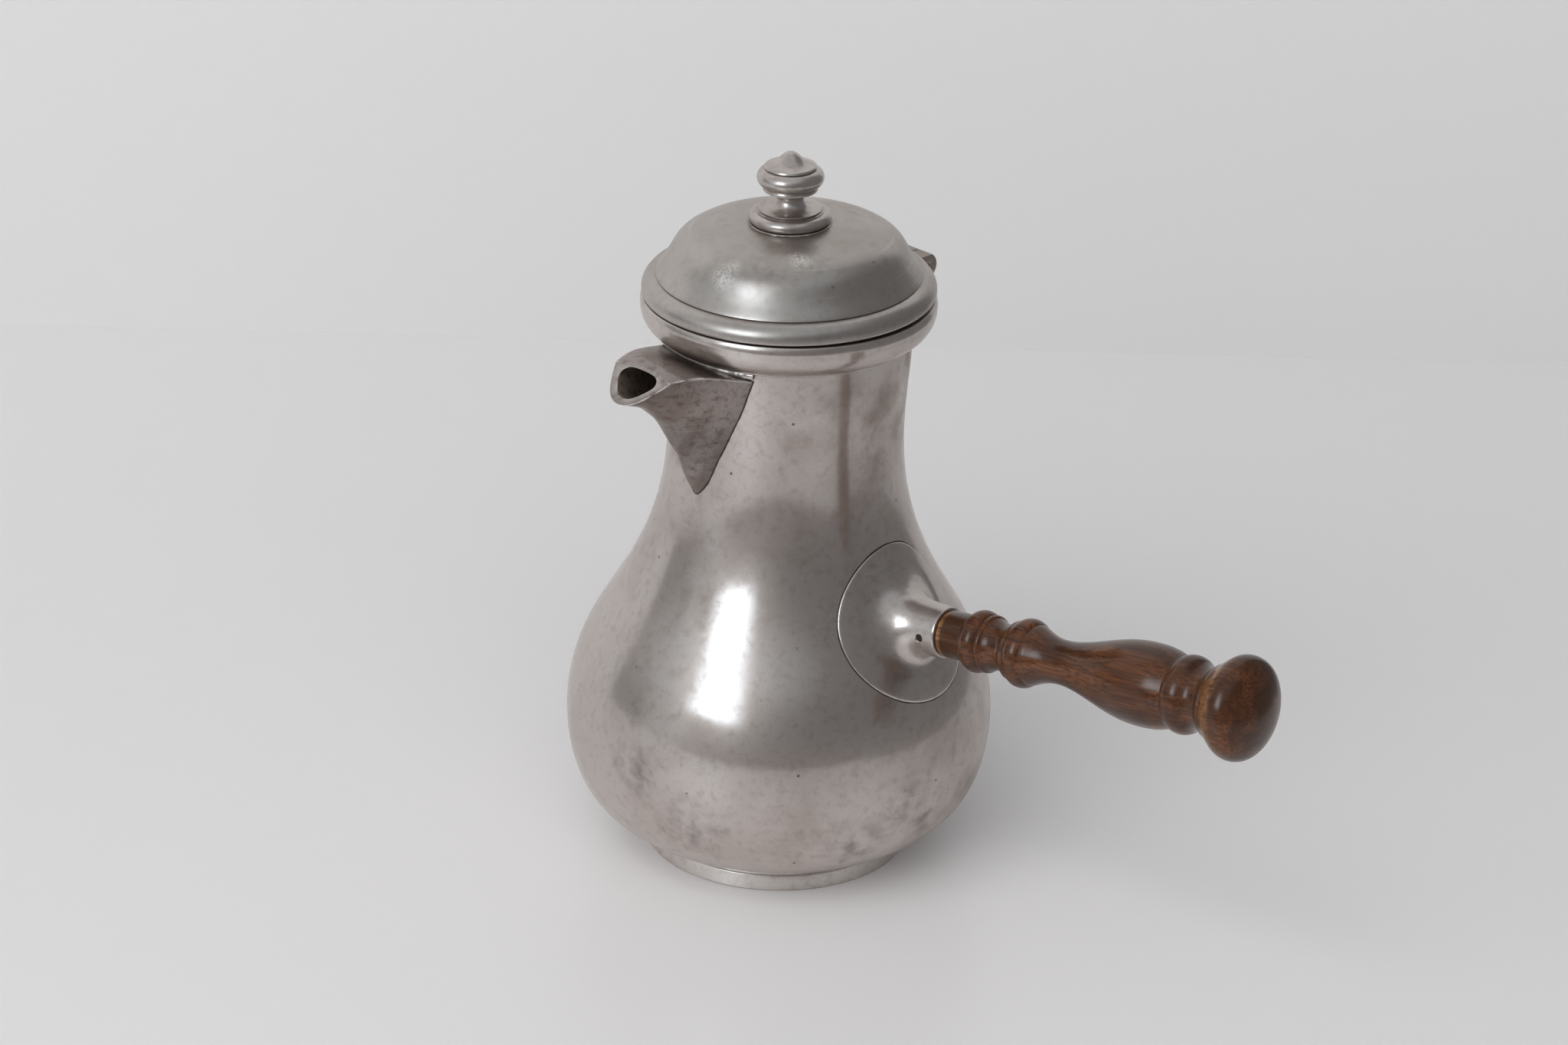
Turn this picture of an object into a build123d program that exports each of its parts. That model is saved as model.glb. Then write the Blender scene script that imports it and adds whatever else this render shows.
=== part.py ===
"""Pewter chocolate pot: pear-shaped body, beak spout, hinged lid and a turned wooden side handle.

Millimetres and degrees. +Z is up, and the origin is the middle of the foot, on the table.
The spout points along -X, the lid's hinge lies at +X, and the handle comes out near -Y.
"""
from build123d import *
import os
from math import asin, cos, degrees, hypot, radians, sin

# ---------------------------------------------------------------- driving dimensions
# Body, turned about Z
WALL = 1.8
BASE_R = 37.0
BASE_Z = 6.0
BELLY_R = 65.0
BELLY_RISE = 36.0
THROAT_R = 35.4
THROAT_RISE = 95.0
MOUTH_R = 37.2
MOUTH_RISE = 41.7
# Shapes of the three stretches: (share of the rise, share of the change in radius)
BELLY_SHAPE = ((0.0, 0.0), (0.17, 0.50), (0.39, 0.79), (0.67, 0.942))
SHOULDER_SHAPE = ((0.0, 0.0), (0.147, 0.046), (0.295, 0.221), (0.453, 0.516), (0.611, 0.769), (0.79, 0.94))
NECK_SHAPE = ((0.0, 0.0), (0.25, 0.20), (0.60, 0.78), (1.0, 1.0))

# Foot ring
FOOT_SPREAD = 3.4
FOOT_HEIGHT = 4.7
FOOT_TAPER = 0.8
FOOT_STEP = 0.6
FOOT_SEAT = 1.6
EDGE = 0.3

# Rim collar
COLLAR_OVERHANG = 6.7
COLLAR_HEIGHT = 11.6
COLLAR_BEAD_DROP = 2.8
COLLAR_BEAD_TUCK = 1.0
COLLAR_LIP_OVERHANG = 2.1
COLLAR_LIP = 1.3
COLLAR_COVE = 1.4
COLLAR_BEAD_BELLY = 0.547

# Lid, turned about its own axis, heights from its seat
SEAM_GAP = 0.3
LID_SETBACK = 0.3
LID_BEAD_HEIGHT = 5.9
LID_BEAD_DEPTH = 4.1
LID_BEAD_TUCK = 1.2
LID_BEAD_BELLY = 0.72
LID_HEIGHT = 21.8
LID_WALL = 1.7
LID_GROOVE = 0.35
DOME_SHAPE = ((0.0, 1.0), (0.17, 0.953), (0.42, 0.892), (0.61, 0.843), (0.74, 0.777), (0.87, 0.653),
              (0.955, 0.45), (0.99, 0.22), (1.0, 0.0))
BEZEL_CLEARANCE = 0.8
BEZEL_WALL = 1.3
BEZEL_DEPTH = 5.0
LID_LIFT = 1.4

# Finial, heights from the top of the dome
FINIAL_BASE_R = 12.2
FINIAL_BASE_HEIGHT = 3.3
FINIAL_DISC_R = 9.4
FINIAL_DISC_THICKNESS = 1.0
FINIAL_COVE = 2.4
FINIAL_FLARE = 1.6
FINIAL_STEM_R = 4.1
FINIAL_LIP_R = 8.1
FINIAL_LIP_HEIGHT = 10.2
FINIAL_BULB_R = 9.9
FINIAL_BULB_HEIGHT = 13.4
FINIAL_CAP_R = 7.8
FINIAL_CAP_HEIGHT = 16.8
FINIAL_HEIGHT = 21.6
TENON_R = 3.0

# Hinge: the pivot is placed on the lid, out from its edge and down from its seat
HINGE_STAND = 4.9
HINGE_DROP = 3.0
KNUCKLE_R = 4.1
KNUCKLE_FLAT = 3.5
STRAP_THICKNESS = 1.8
HINGE_WIDTH = 18.0
BRACKET_WIDTH = 6.0
HINGE_SIDE_GAP = 0.3
HINGE_PIN_R = 1.15
PIN_RUN_CLEARANCE = 0.05
PRESS_CLEARANCE = 0.01
BRACKET_RISE = 2.1
BRACKET_BELLY = 2.4
PIN_SETBACK = 0.2

# Spout: how far its upper corners stand out from the throat and lie below the rim, and how far its
# foot lies below them
SPOUT_REACH = 22.5
SPOUT_DROP = 10.1
SPOUT_HEIGHT = 44.2
SPOUT_HALF = 19.0
SPOUT_CROWN = 1.7
SPOUT_NOSE_R = 4.5
MOUTH_SLANT = 53.5
# Level sections of the outside: (share of the height below the corners, keel's share of the reach,
# slope of the flanks in plan, share of the nose radius)
SPOUT_LEVELS = ((1.122, -0.160, 36.0, 0.60), (0.964, 0.084, 36.0, 0.67), (0.783, 0.231, 36.0, 0.80),
                (0.602, 0.444, 34.2, 0.90), (0.432, 0.644, 33.3, 1.0), (0.296, 0.884, 30.3, 1.0),
                (0.210, 1.160, 26.2, 1.0), (0.136, 1.538, 21.4, 1.0), (0.072, 1.871, 19.2, 1.0),
                (0.0, 2.160, 17.7, 1.0), (-0.077, 2.449, 16.5, 1.0))
# Crowned top face: (share of the reach, share of the half width, share of the height, share of the crown)
SPOUT_TOP = ((-0.596, 1.147, 0.142, 1.1), (0.0, 0.947, 0.059, 1.0), (0.427, 0.816, 0.007, 1.0),
             (0.827, 0.679, -0.010, 1.0), (1.093, 0.579, 0.0, 1.0), (1.760, 0.395, 0.023, 1.0))
CHANNEL_MOUTH_HALF = 9.2
CHANNEL_MOUTH_DEPTH = 15.0
CHANNEL_MOUTH_TOP = 0.9
CHANNEL_CORNER_R = 2.6
CHANNEL_KEEL_R = 3.4
# Pouring channel inwards: (share of the reach, half width of its top, drop of its top, depth)
CHANNEL_MIDDLE = (0.471, 12.3, 13.1, 18.0)
CHANNEL_ROOT = (-0.418, 15.0, 15.7, 36.0)

# Handle: places along its axis are measured out from the pot's axis
HANDLE_TURN = -83.5
HANDLE_LIFT = 6.0
HANDLE_RISE = 39.8
PLATE_R = 24.0
PLATE_RISE = 5.1
PLATE_LIFT = 29.6
PLATE_THICKNESS = 1.1
SOCKET_STAND = 15.7
SOCKET_END_R = 7.65
SOCKET_TAPER = 4.0
SOCKET_FILLET = 8.0
PEG_R = 1.2
PEG_FROM_END = 5.0
PEG_SETBACK = 0.5

# Grip: (radius, place out from the socket's end)
GRIP_TENON_R = 5.6
GRIP_TENON_LENGTH = 10.0
GRIP_CLEARANCE = 0.05
GRIP_SHOULDER = ((6.7, 0.0), (7.1, 1.2), (7.15, 8.8), (7.6, 9.2))
GRIP_BEAD = ((9.4, 12.6), (8.0, 15.2))
GRIP_FILLET = ((8.7, 16.1), (8.0, 17.3))
GRIP_COVE = ((7.05, 20.6), (8.2, 24.6))
GRIP_STEP = ((8.9, 24.9), (9.2, 26.4))
GRIP_COLLAR = ((10.35, 29.4), (8.9, 32.3))
GRIP_VASE = ((8.9, 32.9), (7.16, 37.5), (6.57, 41.5), (7.6, 49.5), (9.8, 57.5), (11.76, 65.5), (12.37, 72.5),
             (11.8, 79.0), (10.5, 83.3))
GRIP_RING = ((11.6, 86.6), (10.4, 89.8))
GRIP_NECK = ((9.45, 92.6), (10.2, 95.2))
GRIP_FLARE = ((11.0, 96.0),)
GRIP_KNOB = ((11.3, 97.0), (13.6, 100.0), (15.0, 102.2), (15.4, 104.2), (14.6, 107.2), (12.0, 109.6),
             (7.0, 111.6), (0, 112.5))

# Worked out from the dimensions above
RIM_Z = BASE_Z + BELLY_RISE + THROAT_RISE + MOUTH_RISE
BELLY_Z = BASE_Z + BELLY_RISE
THROAT_Z = BELLY_Z + THROAT_RISE
FOOT_R = BASE_R + FOOT_SPREAD
COLLAR_R = MOUTH_R + COLLAR_OVERHANG
COLLAR_LIP_R = MOUTH_R + COLLAR_LIP_OVERHANG
LID_R = COLLAR_R - LID_SETBACK
LID_NECK_R = LID_R - LID_BEAD_DEPTH
SEAT_Z = RIM_Z + SEAM_GAP
LID_TILT = degrees(asin(LID_LIFT / (2 * LID_R)))
HINGE_REACH = LID_R + HINGE_STAND


# ---------------------------------------------------------------- helpers
def outline(start, *steps):
    """Edges of a turned outline: a point is a straight run to it, and a pair of points is an arc
    through the first that ends at the second."""
    edges = []
    here = start
    for step in steps:
        if isinstance(step[0], tuple):
            edges.append(ThreePointArc(here, step[0], step[1]))
            here = step[1]
        else:
            edges.append(Line(here, step))
            here = step
    return edges


def turned(edges):
    """Solid of revolution about Z from edges drawn as (radius, height)."""
    return revolve(Plane.XZ * make_face(edges), Axis.Z)


def inset(points, wall):
    """Points of a rising outline moved in, square to it, by the wall."""
    moved = []
    for before, here, after in zip(points[:1] + points[:-1], points, points[1:] + points[-1:]):
        run_r, run_z = after[0] - before[0], after[1] - before[1]
        run = hypot(run_r, run_z)
        moved.append((here[0] - wall * run_z / run, here[1] + wall * run_r / run))
    return moved


def stretch(shape, z, rise, r, change):
    return [(r + part * change, z + share * rise) for share, part in shape]


# ---------------------------------------------------------------- body
def body_points():
    """The pear outline from the base to the mouth."""
    belly = stretch(BELLY_SHAPE, BASE_Z, BELLY_RISE, BASE_R, BELLY_R - BASE_R)
    shoulder = stretch(SHOULDER_SHAPE, BELLY_Z, THROAT_RISE, BELLY_R, THROAT_R - BELLY_R)
    neck = stretch(NECK_SHAPE, THROAT_Z, MOUTH_RISE, THROAT_R, MOUTH_R - THROAT_R)
    return belly + shoulder + neck


def body_radius(z):
    """Radius of the body's outside at a height."""
    for (low_r, low_z), (high_r, high_z) in zip(body_points(), body_points()[1:]):
        if z <= high_z:
            break
    return low_r + (high_r - low_r) * (z - low_z) / (high_z - low_z)


def body_block(grown=0.0):
    """The body as if it were solid, or the same grown by a skin's thickness."""
    points = inset(body_points(), -grown)
    edges = [Spline(*points)]
    edges += outline(points[-1], (0, points[-1][1]), (0, points[0][1]), points[0])
    return turned(edges)


def body_hollow():
    points = inset(body_points(), WALL)
    edges = [Spline(*points)]
    edges += outline(points[-1], (points[-1][0], RIM_Z + WALL), (0, RIM_Z + WALL), (0, BASE_Z + WALL),
                     (points[0][0], BASE_Z + WALL), points[0])
    return turned(edges)


def body_shell():
    return body_block() - body_hollow() - spout_channel()


def foot_ring():
    """Plain ring with a small step, soldered under the body."""
    top_r = FOOT_R - FOOT_TAPER
    above = BASE_Z + FOOT_HEIGHT
    ring = turned(outline((BASE_R - FOOT_SEAT, 0), (FOOT_R - EDGE, 0), (FOOT_R, EDGE), (top_r, FOOT_HEIGHT),
                          (top_r - FOOT_STEP, FOOT_HEIGHT + EDGE), (top_r - FOOT_STEP, above),
                          (BASE_R - FOOT_SEAT, above), (BASE_R - FOOT_SEAT, 0)))
    return ring - body_block()


def rim_collar():
    """Half-round bead with a small lip and a cove below it, soldered round the neck."""
    bead_z = RIM_Z - COLLAR_BEAD_DROP
    lip_z = RIM_Z - COLLAR_HEIGHT + COLLAR_LIP
    foot_z = RIM_Z - COLLAR_HEIGHT
    top_r = COLLAR_R - 2 * EDGE
    bore_r = min(THROAT_R, MOUTH_R) - WALL
    ring = turned(outline((bore_r, RIM_Z), (top_r, RIM_Z),
                          ((COLLAR_R - EDGE / 2, RIM_Z - 3 * EDGE), (COLLAR_R, bead_z)),
                          ((COLLAR_R - COLLAR_BEAD_TUCK, bead_z + COLLAR_BEAD_BELLY * (lip_z - bead_z)),
                           (COLLAR_LIP_R, lip_z)),
                          (COLLAR_LIP_R, lip_z - EDGE),
                          ((COLLAR_LIP_R - COLLAR_COVE, lip_z - 2 * EDGE), (MOUTH_R, foot_z)),
                          (bore_r, foot_z), (bore_r, RIM_Z)))
    return ring - body_block()


# ---------------------------------------------------------------- spout
def upright(reach):
    """Plane square to the spout, its local y up."""
    return Plane(origin=(-reach, 0, 0), x_dir=(0, -1, 0), z_dir=(-1, 0, 0))


def mouth_plane():
    """Plane of the slanting mouth, with its origin between the upper corners."""
    tip = radians(MOUTH_SLANT)
    return Plane(origin=(-THROAT_R - SPOUT_REACH, 0, RIM_Z - SPOUT_DROP), x_dir=(0, -1, 0),
                 z_dir=(-cos(tip), 0, sin(tip)))


def beak(half, top, depth):
    """Rounded triangle that hangs from its flat top."""
    shape = make_face(Polyline((-half, top), (half, top), (0, top - depth), close=True))
    corners = shape.vertices().sort_by(Axis.Y)
    shape = fillet(corners[1:], CHANNEL_CORNER_R)
    return fillet(shape.vertices().sort_by(Axis.Y)[:1], CHANNEL_KEEL_R)


def spout_channel():
    """Pouring way from inside the neck to the mouth."""
    hole = beak(CHANNEL_MOUTH_HALF, CHANNEL_MOUTH_TOP, CHANNEL_MOUTH_DEPTH)
    profiles = [mouth_plane() * hole]
    for reach, half, drop, depth in (CHANNEL_MIDDLE, CHANNEL_ROOT):
        profiles.append(upright(THROAT_R + reach * SPOUT_REACH) * beak(half, RIM_Z - drop, depth))
    start = mouth_plane().offset(WALL) * hole
    return loft(profiles) + loft([start, profiles[0]])


def spout_level(height, reach, slope, roundness):
    """Level section of the outside: two straight flanks and a round nose."""
    lean = radians(slope)
    keel = THROAT_R + reach * SPOUT_REACH
    nose = roundness * SPOUT_NOSE_R
    root = THROAT_R + SPOUT_TOP[0][0] * SPOUT_REACH
    touch = (-(keel - nose + nose * sin(lean)), nose * cos(lean))
    back = (-root, touch[1] + (-touch[0] - root) * sin(lean) / cos(lean))
    edges = outline(back, touch, ((-keel, 0), (touch[0], -touch[1])), (back[0], -back[1]), back)
    return Plane.XY.offset(RIM_Z - SPOUT_DROP - height * SPOUT_HEIGHT) * make_face(edges)


def spout_top(reach, half_share, height, crown_share):
    """Upright section below the crowned top face."""
    half, ridge = half_share * SPOUT_HALF, RIM_Z - SPOUT_DROP - height * SPOUT_HEIGHT
    crown = crown_share * SPOUT_CROWN
    side, low = 3 * half, RIM_Z - SPOUT_DROP - SPOUT_LEVELS[0][0] * SPOUT_HEIGHT - 2 * WALL
    left, middle, right = (-half, ridge), (0, ridge + crown), (half, ridge)
    arc = ThreePointArc(left, middle, right)
    slope_left, slope_right = arc % 0, arc % 1
    far_left = (-side, ridge - (side - half) * slope_left.Y / slope_left.X)
    far_right = (side, ridge + (side - half) * slope_right.Y / slope_right.X)
    edges = [Line(far_left, left), arc, Line(right, far_right)]
    edges += outline(far_right, (side, low), (-side, low), far_left)
    return upright(THROAT_R + reach * SPOUT_REACH) * make_face(edges)


def spout():
    """Hollow cast beak, soldered to the neck under the collar."""
    form = loft([spout_level(*level) for level in SPOUT_LEVELS])
    form = form & loft([spout_top(*section) for section in SPOUT_TOP])
    beyond = mouth_plane() * extrude(Rectangle(4 * BELLY_R, 4 * BELLY_R), BELLY_R)
    form = form - beyond - body_block() - rim_collar()
    return form - spout_channel()


# ---------------------------------------------------------------- handle
def handle_plane(turn=HANDLE_TURN, lift=HANDLE_LIFT, reach=0.0, z=BELLY_Z + HANDLE_RISE):
    """Plane square to the handle; its local z runs out along the handle."""
    out = Vector(cos(radians(turn)) * cos(radians(lift)), sin(radians(turn)) * cos(radians(lift)),
                 sin(radians(lift)))
    side = Vector(-sin(radians(turn)), cos(radians(turn)), 0)
    start = Vector(reach * cos(radians(turn)), reach * sin(radians(turn)), z)
    return Plane(origin=start, x_dir=side, z_dir=out)


PLATE_Z = BELLY_Z + HANDLE_RISE + PLATE_RISE
SOCKET_END = body_radius(PLATE_Z) + SOCKET_STAND


def socket_radius(place):
    return SOCKET_END_R + (SOCKET_END - place) * sin(radians(SOCKET_TAPER)) / cos(radians(SOCKET_TAPER))


def peg_hole(radius, length):
    """Cylinder across the socket, level, where the peg goes."""
    across = Plane(origin=handle_plane().from_local_coords((0, 0, SOCKET_END - PEG_FROM_END)),
                   x_dir=(0, 0, 1), z_dir=handle_plane().x_dir)
    return across * Cylinder(radius, length)


def handle_socket():
    """Round plate that follows the body and rises into a tapered socket."""
    plate_axis = handle_plane(lift=PLATE_LIFT, reach=body_radius(PLATE_Z), z=PLATE_Z)
    plate = body_block(PLATE_THICKNESS) & (plate_axis * Cylinder(PLATE_R, PLATE_R))
    start = SOCKET_END - 2 * PLATE_R
    cone = handle_plane().offset(start) * Cone(socket_radius(start), SOCKET_END_R, SOCKET_END - start,
                                               align=(Align.CENTER, Align.CENTER, Align.MIN))
    body = body_block()
    piece = (plate + cone) - body
    root = piece.edges().filter_by(is_root)
    piece = fillet(root, SOCKET_FILLET)
    bore_floor = SOCKET_END - GRIP_TENON_LENGTH - 2 * GRIP_CLEARANCE
    bore = handle_plane().offset(bore_floor) * Cylinder(GRIP_TENON_R + GRIP_CLEARANCE, PLATE_R,
                                                         align=(Align.CENTER, Align.CENTER, Align.MIN))
    return piece - bore - peg_hole(PEG_R + GRIP_CLEARANCE, 4 * SOCKET_END_R)


def is_root(edge):
    """Whether an edge is the line where the socket's cone leaves the plate."""
    places = [handle_plane().to_local_coords(edge @ share) for share in (0.0, 0.25, 0.5, 0.75)]
    gaps = [abs(hypot(place.X, place.Y) - socket_radius(place.Z)) for place in places]
    return max(gaps) < EDGE and 0 < min(place.Z for place in places) < SOCKET_END - SOCKET_END_R


def along_grip(points):
    """Points of the grip's outline, placed from the socket's end."""
    return tuple((r, SOCKET_END + place) for r, place in points)


def wooden_handle():
    """Turned grip: tenon, shoulder, two beads, vase, bead, cove and knob."""
    tenon = SOCKET_END - GRIP_TENON_LENGTH
    vase, knob = along_grip(GRIP_VASE), along_grip(GRIP_KNOB)
    edges = outline((0, tenon), (GRIP_TENON_R, tenon), (GRIP_TENON_R, SOCKET_END), *along_grip(GRIP_SHOULDER),
                    along_grip(GRIP_BEAD), along_grip(GRIP_FILLET), along_grip(GRIP_COVE),
                    *along_grip(GRIP_STEP), along_grip(GRIP_COLLAR), vase[0])
    edges.append(Spline(*vase))
    edges += outline(vase[-1], along_grip(GRIP_RING), along_grip(GRIP_NECK), *along_grip(GRIP_FLARE), knob[0])
    edges.append(Spline(*knob, tangents=((0.75, 1.0), (-1, 0))))
    edges += outline(knob[-1], (0, tenon))
    grip = handle_plane() * turned(edges)
    return grip - peg_hole(PEG_R + GRIP_CLEARANCE, 4 * SOCKET_END_R)


def handle_peg():
    """Cross peg that holds the grip in its socket, a little below the surface."""
    return peg_hole(PEG_R, 2 * (socket_radius(SOCKET_END - PEG_FROM_END) - PEG_SETBACK))


# ---------------------------------------------------------------- lid
def lid_place():
    """The closed lid rests on the rim in front and stands LID_LIFT high at the hinge."""
    return Pos(-LID_R, 0, SEAT_Z) * Rot(0, -LID_TILT, 0) * Pos(LID_R, 0, 0)


def dome_points():
    rise = LID_HEIGHT - LID_BEAD_HEIGHT
    return [(LID_NECK_R * part, LID_BEAD_HEIGHT + share * rise) for share, part in DOME_SHAPE]


def lid_shell():
    """Turned dome with a beaded flange that closes on the rim."""
    dome = dome_points()
    edge_r = LID_R - 2 * EDGE
    bead = outline((0, 0), (edge_r, 0), ((LID_R - EDGE / 2, EDGE), (LID_R, 3 * EDGE)),
                   ((LID_R - LID_BEAD_TUCK, LID_BEAD_HEIGHT * LID_BEAD_BELLY),
                    (LID_NECK_R, LID_BEAD_HEIGHT - LID_GROOVE)),
                   (LID_NECK_R - LID_GROOVE, LID_BEAD_HEIGHT - LID_GROOVE / 2), dome[0])
    block = turned(bead + [Spline(*dome, tangents=((-0.5, 0.85), (-1, 0))), Line(dome[-1], (0, 0))])
    inner = inset(dome, LID_WALL)
    inner[-1] = (0, LID_HEIGHT - LID_WALL)
    bezel_r = bezel_radius() - BEZEL_WALL
    hollow = outline((0, 0), (bezel_r, 0), (bezel_r, LID_WALL),
                     (inner[0][0], LID_BEAD_HEIGHT - LID_WALL), inner[0])
    hollow += [Spline(*inner), Line(inner[-1], (0, 0))]
    hole = Pos(0, 0, LID_HEIGHT) * Cylinder(TENON_R + PRESS_CLEARANCE, 4 * LID_WALL)
    return lid_place() * (block - turned(hollow) - hole)


def bezel_radius():
    return MOUTH_R - WALL - BEZEL_CLEARANCE


def lid_bezel():
    """Locating ring under the lid, inside the mouth."""
    outer = bezel_radius()
    inner = outer - BEZEL_WALL
    ring = turned(outline((inner, 0), (inner, EDGE - BEZEL_DEPTH), (inner + EDGE, -BEZEL_DEPTH),
                          (outer - EDGE, -BEZEL_DEPTH), (outer, EDGE - BEZEL_DEPTH), (outer, 0), (inner, 0)))
    return lid_place() * ring


def finial():
    """Turned knob: base bead, thin disc, stem, lip, bulb and a peaked cap, with a tenon below."""
    z = LID_HEIGHT
    base_top = z + FINIAL_BASE_HEIGHT
    disc = base_top + FINIAL_DISC_THICKNESS
    lip = z + FINIAL_LIP_HEIGHT
    bulb = z + FINIAL_BULB_HEIGHT
    cap = z + FINIAL_CAP_HEIGHT
    top = z + FINIAL_HEIGHT
    groove_r = FINIAL_CAP_R - EDGE
    flare_z = lip - 3 * EDGE
    profile = outline((0, z - 3 * EDGE), (FINIAL_BASE_R - 3 * EDGE, z - 3 * EDGE),
                      ((FINIAL_BASE_R, z + FINIAL_BASE_HEIGHT / 2), (FINIAL_DISC_R + EDGE, base_top)),
                      (FINIAL_DISC_R - EDGE, base_top + EDGE),
                      (FINIAL_DISC_R, disc - EDGE), (FINIAL_DISC_R, disc),
                      ((FINIAL_STEM_R + FINIAL_COVE / 2, disc + FINIAL_COVE / 4),
                       (FINIAL_STEM_R, disc + FINIAL_COVE)),
                      ((FINIAL_STEM_R + FINIAL_FLARE / 4, flare_z - FINIAL_FLARE / 2),
                       (FINIAL_STEM_R + FINIAL_FLARE, flare_z)),
                      (FINIAL_LIP_R, lip - EDGE), (FINIAL_LIP_R, lip + EDGE),
                      (FINIAL_LIP_R - EDGE, lip + 3 * EDGE),
                      ((FINIAL_BULB_R, bulb), (groove_r, cap - EDGE)),
                      (FINIAL_CAP_R, cap), (groove_r, cap + 2 * EDGE))
    peak = Spline((groove_r, cap + 2 * EDGE), (FINIAL_CAP_R * 0.5, cap + (top - cap) * 0.48),
                  (FINIAL_CAP_R * 0.26, cap + (top - cap) * 0.83), (0, top), tangents=((-1, 0.15), (-1, 0)))
    profile += [peak, Line((0, top), (0, z - 3 * EDGE))]
    tenon = Pos(0, 0, z - 3 * EDGE) * Cylinder(TENON_R, LID_WALL + EDGE,
                                               align=(Align.CENTER, Align.CENTER, Align.MAX))
    return lid_place() * (turned(profile) + tenon) - lid_shell()


# ---------------------------------------------------------------- hinge
def pivot():
    """Place of the hinge pin, which lies along Y."""
    return lid_place() * Pos(HINGE_REACH, 0, -HINGE_DROP)


def across(radius, width):
    """Cylinder along the hinge pin."""
    return Rot(90, 0, 0) * Cylinder(radius, width)


def knuckle(width):
    """Round barrel with a flat top."""
    flat = Pos(0, 0, KNUCKLE_FLAT) * Box(4 * KNUCKLE_R, width, 2 * KNUCKLE_R,
                                         align=(Align.CENTER, Align.CENTER, Align.MIN))
    return across(KNUCKLE_R, width) - flat


def hinge_strap():
    """Flat-topped strap on the lid's flange with the two outer knuckles."""
    arm = HINGE_REACH - LID_NECK_R
    strap = Pos(-arm, 0, KNUCKLE_FLAT) * Box(arm, HINGE_WIDTH, STRAP_THICKNESS,
                                             align=(Align.MIN, Align.CENTER, Align.MAX))
    slot_width = BRACKET_WIDTH + 2 * HINGE_SIDE_GAP
    slot = across(KNUCKLE_R + HINGE_SIDE_GAP, slot_width)
    slot += Pos(0, 0, -KNUCKLE_R) * Box(2 * KNUCKLE_R, slot_width, 4 * KNUCKLE_R,
                                        align=(Align.MIN, Align.CENTER, Align.CENTER))
    piece = knuckle(HINGE_WIDTH) + strap - slot - across(HINGE_PIN_R + PRESS_CLEARANCE, 2 * HINGE_WIDTH)
    return pivot() * piece - lid_shell()


def hinge_bracket():
    """Lug on the back of the collar with the middle knuckle."""
    axis = pivot().position
    low = RIM_Z - COLLAR_HEIGHT + BRACKET_RISE
    root = COLLAR_LIP_R - EDGE
    arm = make_face(outline((root, axis.Z), (axis.X, axis.Z), (axis.X + KNUCKLE_R - EDGE, axis.Z),
                            ((axis.X, axis.Z - KNUCKLE_R - BRACKET_BELLY), (COLLAR_LIP_R + 4 * EDGE, low)),
                            (root, low), (root, axis.Z)))
    arm = extrude(Plane.XZ * arm, BRACKET_WIDTH / 2, both=True)
    piece = arm + pivot() * knuckle(BRACKET_WIDTH)
    return piece - rim_collar() - pivot() * across(HINGE_PIN_R + PIN_RUN_CLEARANCE, 2 * HINGE_WIDTH)


def hinge_pin():
    return pivot() * across(HINGE_PIN_R, HINGE_WIDTH - 2 * PIN_SETBACK)


# ---------------------------------------------------------------- output
PIECES = {
    "body_shell": body_shell,
    "foot_ring": foot_ring,
    "rim_collar": rim_collar,
    "spout": spout,
    "handle_socket": handle_socket,
    "handle_peg": handle_peg,
    "wooden_handle": wooden_handle,
    "hinge_bracket": hinge_bracket,
    "hinge_pin": hinge_pin,
    "hinge_strap": hinge_strap,
    "lid_shell": lid_shell,
    "lid_bezel": lid_bezel,
    "finial": finial,
}

os.makedirs("parts", exist_ok=True)
for name, make in PIECES.items():
    piece = make()
    solids = piece.solids()
    box = piece.bounding_box()
    print(name, len(solids), "solid, volume", round(piece.volume), "box", tuple(box.min), tuple(box.max))
    export_step(solids[0] if len(solids) == 1 else Compound(children=solids), f"parts/{name}.step")
print("hinge pivot at", tuple(pivot().position), "lid tilt", LID_TILT)
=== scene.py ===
from math import asin, atan2, cos, degrees, hypot, pi, radians, sin, sqrt, tan

import bmesh
import bpy
import numpy as np
from mathutils import Matrix, Vector


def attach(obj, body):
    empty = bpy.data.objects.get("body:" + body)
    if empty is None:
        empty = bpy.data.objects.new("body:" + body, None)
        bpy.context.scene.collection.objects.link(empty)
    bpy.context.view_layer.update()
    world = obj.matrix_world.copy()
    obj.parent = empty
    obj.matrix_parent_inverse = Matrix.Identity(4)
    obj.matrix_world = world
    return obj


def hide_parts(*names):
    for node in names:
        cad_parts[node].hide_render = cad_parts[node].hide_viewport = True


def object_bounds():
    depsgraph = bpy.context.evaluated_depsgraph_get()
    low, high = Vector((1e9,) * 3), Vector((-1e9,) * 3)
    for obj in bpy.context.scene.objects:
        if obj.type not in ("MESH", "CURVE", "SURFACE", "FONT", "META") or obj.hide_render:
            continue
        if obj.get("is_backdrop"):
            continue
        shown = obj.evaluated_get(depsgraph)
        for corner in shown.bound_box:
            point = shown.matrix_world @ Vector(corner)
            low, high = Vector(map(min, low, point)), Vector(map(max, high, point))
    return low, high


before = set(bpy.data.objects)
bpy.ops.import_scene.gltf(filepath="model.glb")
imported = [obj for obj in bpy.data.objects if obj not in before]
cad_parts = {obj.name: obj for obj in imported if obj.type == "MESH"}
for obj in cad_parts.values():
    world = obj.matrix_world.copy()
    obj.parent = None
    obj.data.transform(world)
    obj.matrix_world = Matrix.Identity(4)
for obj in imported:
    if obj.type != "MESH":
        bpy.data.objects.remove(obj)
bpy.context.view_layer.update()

# ---------------------------------------------------------------- the camera
# The view is taken from the spout's right, a little over a metre away and from above, with the
# camera leaning slightly. Lengths are in metres, and the view turns from the pot's own axes.
VIEW_TURN = radians(-44.0)
CAMERA_AWAY = 1.2191
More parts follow.
